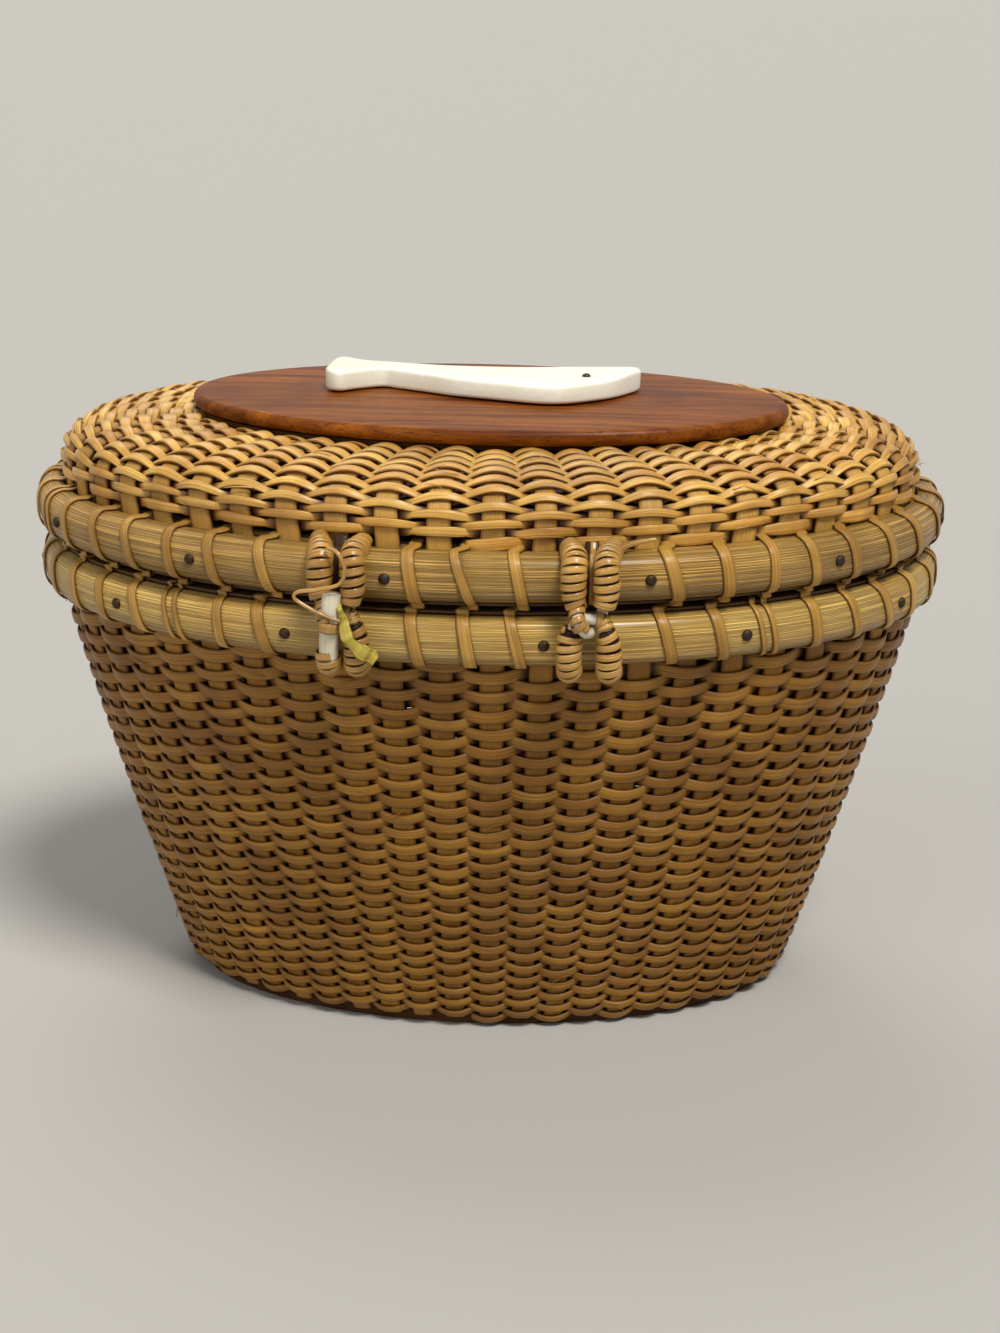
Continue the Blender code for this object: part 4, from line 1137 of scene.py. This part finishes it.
def make_hinge(side, shift, covered, pitch, seed):
    """Two linked cane loops. The upper one rides on the lid and turns on the lower one's bar. The shift and
    the cover are the left lower leg's, which is worn bare on one hinge. The pitch is the upper legs'."""
    low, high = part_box(f"hinge_{side}_lower_loop")
    centre = (low.x + high.x) / 2
    upper_core = Strips()
    upper_link = Strips()
    upper_wound = Strips()
    lower_core = Strips()
    lower_link = Strips()
    lower_wound = Strips()
    for way in (-1, 1):
        upper_leg(upper_core, upper_wound, centre, way, pitch, seed + 2 * way)
    left = lower_leg(lower_core, lower_wound, centre - LOWER_SPREAD + shift, -1, covered, seed + 10)
    right = lower_leg(lower_core, lower_wound, centre + LOWER_SPREAD, 1, 1.0, seed + 14)
    bar = [
        left,
        (left[0] + 0.6 * MM, HINGE_Y, HINGE_Z - 0.8 * MM),
        (left[0] + 2.2 * MM, HINGE_Y, HINGE_Z),
        (right[0] - 2.2 * MM, HINGE_Y, HINGE_Z),
        (right[0] - 0.6 * MM, HINGE_Y, HINGE_Z - 0.8 * MM),
        right,
    ]
    rod(lower_link, bar, LINK_CORE, seed + 20)
    winding(lower_wound, bar[3:], seed + 22, 1.75 * MM, 2.3 * MM, 1.7 * MM)
    under = [(centre - UPPER_SPREAD + 0.6 * MM, HINGE_Y, HINGE_Z + 4.6 * MM)]
    for k in range(7):
        angle = math.pi + math.pi * k / 6
        y = HINGE_Y + LINK_REACH * math.cos(angle)
        under.append((centre + 2.8 * MM * (k / 3 - 1), y, HINGE_Z + LINK_REACH * math.sin(angle)))
    under.append((centre + UPPER_SPREAD - 0.6 * MM, HINGE_Y, HINGE_Z + 4.6 * MM))
    rod(upper_link, under, LINK_CORE, seed + 21)
    winding(upper_wound, under[:3], seed + 23, 1.8 * MM, 2.5 * MM, 1.8 * MM)
    face = half_round(LID_HOOP_THICKNESS + 0.4 * MM, LID_HOOP_BOTTOM - 0.3 * MM, LID_HOOP_TOP + 0.4 * MM)[1:]
    between = [(centre, rim_y(centre, offset), height) for offset, height in face[::2]]
    between.append((centre, rim_y(centre, HOOP_FACE), LID_HOOP_TOP + 2.4 * MM))
    loose_strip(upper_core, between, (3.4 * MM,), seed + 26)
    if side == "left":
        worn_hinge(upper_wound, centre, seed + 24)
    else:
        whole_hinge(upper_wound, centre, between, seed + 24)
    for strips, name, material, body, slot, nodes in (
        (upper_core, "lid_legs", CORE_REED, "lid", "reed", ("upper_loop",)),
        (upper_link, "lid_link", REED, "lid", "reed", ("upper_loop",)),
        (upper_wound, "lid_windings", WRAP_CANE, "lid", "cane_strip", ("upper_wrap_a", "upper_wrap_b")),
        (lower_core, "body_legs", CORE_REED, "basket", "reed", ("lower_loop",)),
        (lower_link, "body_bar", REED, "basket", "reed", ("lower_loop",)),
        (lower_wound, "body_windings", WRAP_CANE, "basket", "cane_strip", ("lower_wrap_a", "lower_wrap_b")),
    ):
        piece = strips.make(f"hinge_{side}_{name}", material)
        finish_piece(piece, body, slot, *(f"hinge_{side}_{node}" for node in nodes))


def whole_hinge(upper_wound, centre, between, seed):
    """The right hinge's strips: a stray one off its right leg's top and a thin lashing between its legs."""
    stray = [
        (centre + UPPER_SPREAD, LEG_Y + 0.5 * MM, LID_HOOP_TOP + 1.0 * MM),
        (centre + 9 * MM, rim_y(centre + 9 * MM, 5.5 * MM), LID_HOOP_TOP + 2.2 * MM),
        (centre + 16 * MM, rim_y(centre + 16 * MM, 4.0 * MM), LID_HOOP_TOP + 3.0 * MM),
    ]
    loose_strip(upper_wound, stray, (1.9 * MM, 1.9 * MM, 0.9 * MM), seed)
    raised = [(x + 0.3 * MM, y - 0.5 * MM, z) for x, y, z in between]
    loose_strip(upper_wound, raised, (1.6 * MM,), seed + 1)


def worn_hinge(upper_wound, centre, seed):
    """The left hinge's damage: a bare pale core, a strip that sprang loose and a torn one, in millimetres
    from the link's middle along X, outwards and up. The core and the torn strip reach across the joint."""
    def places(rows):
        return [(centre + x * MM, LEG_Y - out * MM, HINGE_Z + z * MM) for x, out, z in rows]

    bare = [(-2.0, 0.1, -11.5), (-1.9, 0.6, -8.0), (-1.6, 1.3, -4.0), (-1.3, 1.9, 1.0), (-0.9, 1.6, 5.8)]
    core = Strips()
    rod(core, places(bare), BARE_CORE, seed)
    sprung = [(-2.0, 2.0, 17.5), (1.0, 4.2, 17.0), (2.9, 5.0, 13.0), (1.5, 5.2, 9.2), (-4.1, 4.8, 7.5),
              (-9.0, 4.2, 6.6), (-9.9, 3.8, 4.8), (-6.4, 4.4, 2.6), (-2.3, 5.2, 0.9), (1.8, 4.6, -0.8)]
    loose_strip(upper_wound, places(sprung), (1.0 * MM, 1.1 * MM, 0.9 * MM), seed + 1, hint=(0, -1, 0.7))
    band = [(-4.6, 2.0, -2.6), (-3.2, 4.5, -2.5), (-0.2, 4.7, -2.8), (1.4, 2.4, -3.0)]
    loose_strip(upper_wound, places(band), (2.8 * MM,), seed + 2)
    torn = Strips()
    rows = [(1.0, 3.0, 3.4), (2.2, 3.8, -0.4), (3.2, 4.4, -4.4), (5.8, 4.2, -7.6), (10.4, 3.8, -10.6)]
    widths = (1.2 * MM, 2.4 * MM, 3.6 * MM, 4.2 * MM, 3.4 * MM)
    loose_strip(torn, places(rows), widths, seed + 3, crumple=0.16)
    for piece, slot in (
        (core.make("hinge_left_bare_core", REED), "reed"),
        (torn.make("hinge_left_torn_strip", GREEN_CANE), "cane_strip"),
    ):
        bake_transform(piece)


# The plate and the whale.

def turned(points):
    """Points of the plate's own frame, turned as the plate sits on the lid."""
    cosine, sine = math.cos(PLATE_TURN), math.sin(PLATE_TURN)
    x, y, z = points[..., 0], points[..., 1], points[..., 2]
    return np.stack([x * cosine - y * sine, x * sine + y * cosine, z], -1)


def finish_solid(rings, name, material, slot, node):
    """Makes a piece of the lid's top from its rings."""
    strips = Strips()
    strips.add_rings(rings, rings.copy(), np.ones(rings.shape[:2]))
    finish_piece(strips.make(name, material), "lid", slot, node)


def make_plate(rounding=2.0 * MM, crown=0.4 * MM, segments=180):
    """The oval plate: rounded edges and a slightly crowned top."""
    half = PLATE_HALF_WIDTH - 0.5 * MM
    shoulder = PLATE_TOP - crown - rounding
    profile = [(half, PLATE_BOTTOM)]
    for middle, degrees in ((PLATE_BOTTOM + rounding, range(-90, 1, 15)), (shoulder, range(15, 91, 15))):
        for degree in degrees:
            angle = math.radians(degree)
            profile.append((rounding - rounding * math.cos(angle), middle + rounding * math.sin(angle)))
    for share in (0.12, 0.3, 0.55, 0.8):
        inset = rounding + (PLATE_HALF_WIDTH - rounding) * share
        profile.append((inset, PLATE_TOP - crown * (1 - share) ** 2))
    profile.append((half, PLATE_TOP))
    angle = math.tau * np.arange(segments) / segments
    rings = []
    for inset, height in profile:
        x = (PLATE_HALF_LENGTH - inset) * np.sin(angle)
        y = -(PLATE_HALF_WIDTH - inset) * np.cos(angle)
        rings.append(np.stack([x, y, np.full(segments, height)], -1))
    finish_solid(turned(np.array(rings)), "top_plate", MAHOGANY, "mahogany", "lid_plate")


# The whale's near and far edges, as shares of its length and width, from the tail's end to the head.
WHALE_NEAR_EDGE = (
    (-0.500, -0.145), (-0.447, -0.229), (-0.397, -0.097), (-0.324, 0.052), (-0.267, -0.006), (-0.166, -0.142),
    (-0.076, -0.271), (0.058, -0.390), (0.182, -0.494), (0.260, -0.500), (0.328, -0.403), (0.427, -0.129),
    (0.500, 0.290),
)
WHALE_FAR_EDGE = (
    (-0.500, 0.371), (-0.470, 0.484), (-0.413, 0.432), (-0.301, 0.361), (-0.121, 0.297), (0.103, 0.342),
    (0.294, 0.445), (0.440, 0.490), (0.485, 0.455), (0.500, 0.400),
)


def edge_curve(edge, places):
    """The whale's edge at places along its length."""
    points = np.array([(x, y, 0) for x, y in edge])
    path = curve_through(points, 400)
    return np.interp(places, path[:, 0], path[:, 1])


def make_whale():
    """A carved figure: sections between its two edges, flat on top with rounded corners."""
    places = np.concatenate([[-0.5, -0.497, -0.49], np.linspace(-0.48, 0.48, 96), [0.487, 0.494, 0.5]])
    near_edge = edge_curve(WHALE_NEAR_EDGE, places) * WHALE_WIDTH
    far_edge = edge_curve(WHALE_FAR_EDGE, places) * WHALE_WIDTH
    tall = WHALE_TOP - WHALE_BOTTOM
    rings = []
    for place, near, far in zip(places, near_edge, far_edge):
        middle = (near + far) / 2
        half = (far - near) / 2
        to_end = min(place + 0.5, 0.5 - place) * WHALE_LENGTH / (1.4 * MM)
        end = 1 - 0.22 * max(0.0, 1 - to_end) ** 2
        tail_lift = 0.7 * MM * max(0.0, (-0.40 - place) / 0.1)
        x = WHALE_PLACE_X + place * WHALE_LENGTH
        ring = []
        for angle in np.linspace(0, math.tau, 40, endpoint=False):
            cosine, sine = math.cos(angle), math.sin(angle)
            across = math.copysign(abs(cosine) ** (2 / WHALE_SIDE_SQUARENESS), cosine)
            rise = math.copysign(abs(sine) ** (2 / WHALE_TOP_SQUARENESS), sine)
            height = 0.5 + 0.5 * rise * end
            ring.append((x, middle + across * half * end, WHALE_BOTTOM + tall * height + tail_lift * height))
        rings.append(ring)
    finish_solid(turned(np.array(rings)), "carved_whale", BONE, "bone", "whale")


def make_eye(radius=1.25 * MM, height=1.0 * MM, segments=24):
    """The whale's eye: a domed bead let into the bone."""
    low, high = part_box("whale_eye")
    centre = (np.array(low) + np.array(high)) / 2
    around = math.tau * np.arange(segments) / segments
    rings = []
    for angle in np.radians((-89, -60, -30, 0, 20, 40, 60, 75, 88)):
        x = centre[0] + radius * math.cos(angle) * np.cos(around)
        y = centre[1] + radius * math.cos(angle) * np.sin(around)
        rise = WHALE_TOP - 0.1 * MM + height * math.sin(angle)
        rings.append(np.stack([x, y, np.full(segments, rise)], -1))
    finish_solid(np.array(rings), "inlaid_eye", INLAY, "dark_inlay", "whale_eye")


def dress_kept_nodes():
    """Materials of the CAD nodes that stay."""
    for name, material in (
        ("base_board", BOARD_WOOD), ("lid_disc", BOARD_WOOD), ("plate_screw_left", BRASS),
        ("plate_screw_right", BRASS), ("whale_pin_head", BRASS), ("whale_pin_tail", BRASS),
    ):
        node = frame["nodes"][name]
        node.data.materials.clear()
        node.data.materials.append(material)


# Stage, lights and camera.

FLOOR_COLOUR = linear(178, 176, 171)
WORLD_LIGHT = (0.29, 0.285, 0.28, 1)
WORLD_SEEN = linear(200, 197, 190)


def make_floor():
    """The plain pale floor."""
    bpy.ops.mesh.primitive_plane_add(size=60, location=(0, 0, -0.2 * MM))
    floor = bpy.context.object
    floor.name = "floor"
    material, _, shader = new_material("pale floor", 0.8, specular=0.1)
    shader.inputs["Base Color"].default_value = FLOOR_COLOUR
    floor.data.materials.append(material)


def make_world():
    """Soft light from all round, and the pale background that is seen and reflected."""
    world = bpy.data.worlds.new("studio")
    bpy.context.scene.world = world
    world.use_nodes = True
    nodes = Nodes(world.node_tree)
    background = world.node_tree.nodes["Background"]
    path = nodes.add("ShaderNodeLightPath")
    seen = nodes.math("MAXIMUM", path.outputs["Is Camera Ray"], path.outputs["Is Transmission Ray"])
    seen = nodes.math("MAXIMUM", seen, path.outputs["Is Glossy Ray"])
    colour = nodes.mix(seen, WORLD_LIGHT, WORLD_SEEN)
    world.node_tree.links.new(colour, background.inputs["Color"])


def sun(name, place, power, spread, colour):
    """A broad, soft lamp that lights the floor and the basket alike."""
    data = bpy.data.lights.new(name, "SUN")
    data.energy = power
    data.angle = math.radians(spread)
    data.color = colour
    light = bpy.data.objects.new(name, data)
    light.location = place
    light.rotation_euler = Vector(place).to_track_quat("Z", "Y").to_euler()
    bpy.context.scene.collection.objects.link(light)


def make_lights():
    """Key, fill and back light: where each comes from, its power, its spread in degrees and its colour."""
    sun("key", (0.38, -0.60, 1.15), 2.8, 18, (1.0, 0.98, 0.94))
    sun("fill", (-0.70, -0.80, 0.55), 0.55, 50, (0.98, 0.99, 1.0))
    sun("back", (-0.25, 0.70, 1.00), 0.8, 35, (1.0, 0.99, 0.97))


def make_camera():
    """The photograph's camera: place, direction and lens fitted to the rims, the plate and the foot."""
    picture_height = 1333
    focal_pixels = 2600
    yaw, rise, roll = math.radians(3.65), math.radians(17.53), math.radians(0.46)
    distance = 749.7 * MM
    target = Vector((3.77 * MM, 0, 88.62 * MM))
    back = Vector((math.sin(yaw) * math.cos(rise), -math.cos(yaw) * math.cos(rise), math.sin(rise)))
    right = Vector((0, 0, 1)).cross(back).normalized()
    up = back.cross(right)
    rolled_right = math.cos(roll) * right + math.sin(roll) * up
    rolled_up = -math.sin(roll) * right + math.cos(roll) * up
    data = bpy.data.cameras.new("camera")
    data.sensor_width = 36
    data.lens = focal_pixels / picture_height * data.sensor_width
    camera = bpy.data.objects.new("camera", data)
    bpy.context.scene.collection.objects.link(camera)
    matrix = camera.matrix_world.copy()
    for row in range(3):
        matrix[row][0] = rolled_right[row]
        matrix[row][1] = rolled_up[row]
        matrix[row][2] = back[row]
        matrix[row][3] = (target + back * distance)[row]
    camera.matrix_world = matrix
    data.clip_start = 0.01
    bpy.context.scene.camera = camera


make_camera()
make_world()
make_lights()
make_floor()
body_top = share_at_height(BODY_WALL, BODY_HOOP_BOTTOM - 0.8 * MM)
lid_low = share_at_height(LID_WALL, LID_HOOP_TOP + 1.4 * MM)
body_weaver = Weaver(
    BODY_WALL, BODY_TURNS, (0.004, body_top), spread=0.20, looseness=0.0, swing=BODY_SWING, sag=BODY_SAG,
    widths=(1.12, 1.14), waist=0.14, unevenness=0.19 * MM,
)
lid_weaver = Weaver(
    LID_WALL, LID_TURNS, (lid_low, 0.985), spread=0.45, looseness=0.06, swing=LID_SWING, sag=LID_SAG,
    widths=(1.14, 1.32), waist=-0.18, unevenness=0.28 * MM,
)
make_wall(
    "body", body_weaver, (FOOT_STAVE_WIDTH, BODY_STAVE_WIDTH), steps=220, edges=(0, 17, 33, BODY_TURNS),
    names=("low", "middle", "high"), cane=BODY_CANE, stave_wood=STAVE_WOOD, fibres=70, body="basket",
    seed=100,
)
make_wall(
    "lid", lid_weaver, (LID_STAVE_WIDTH, DISC_STAVE_WIDTH), steps=170, edges=(0, 9, LID_TURNS),
    names=("low", "high"), cane=LID_CANE, stave_wood=LID_STAVE_WOOD, fibres=40, body="lid", seed=400,
)
make_rim("body", BODY_HOOP_THICKNESS, 1, BODY_HOOP_WOOD, "basket", 500)
make_rim("lid", LID_HOOP_THICKNESS, -1, LID_HOOP_WOOD, "lid", 600)
make_hinge("left", shift=2.9 * MM, covered=0.7, pitch=2.7 * MM, seed=700)
make_hinge("right", shift=0.0, covered=1.0, pitch=2.35 * MM, seed=730)
make_plate()
make_whale()
make_eye()
dress_kept_nodes()

bpy.context.scene.view_settings.view_transform = "Standard"
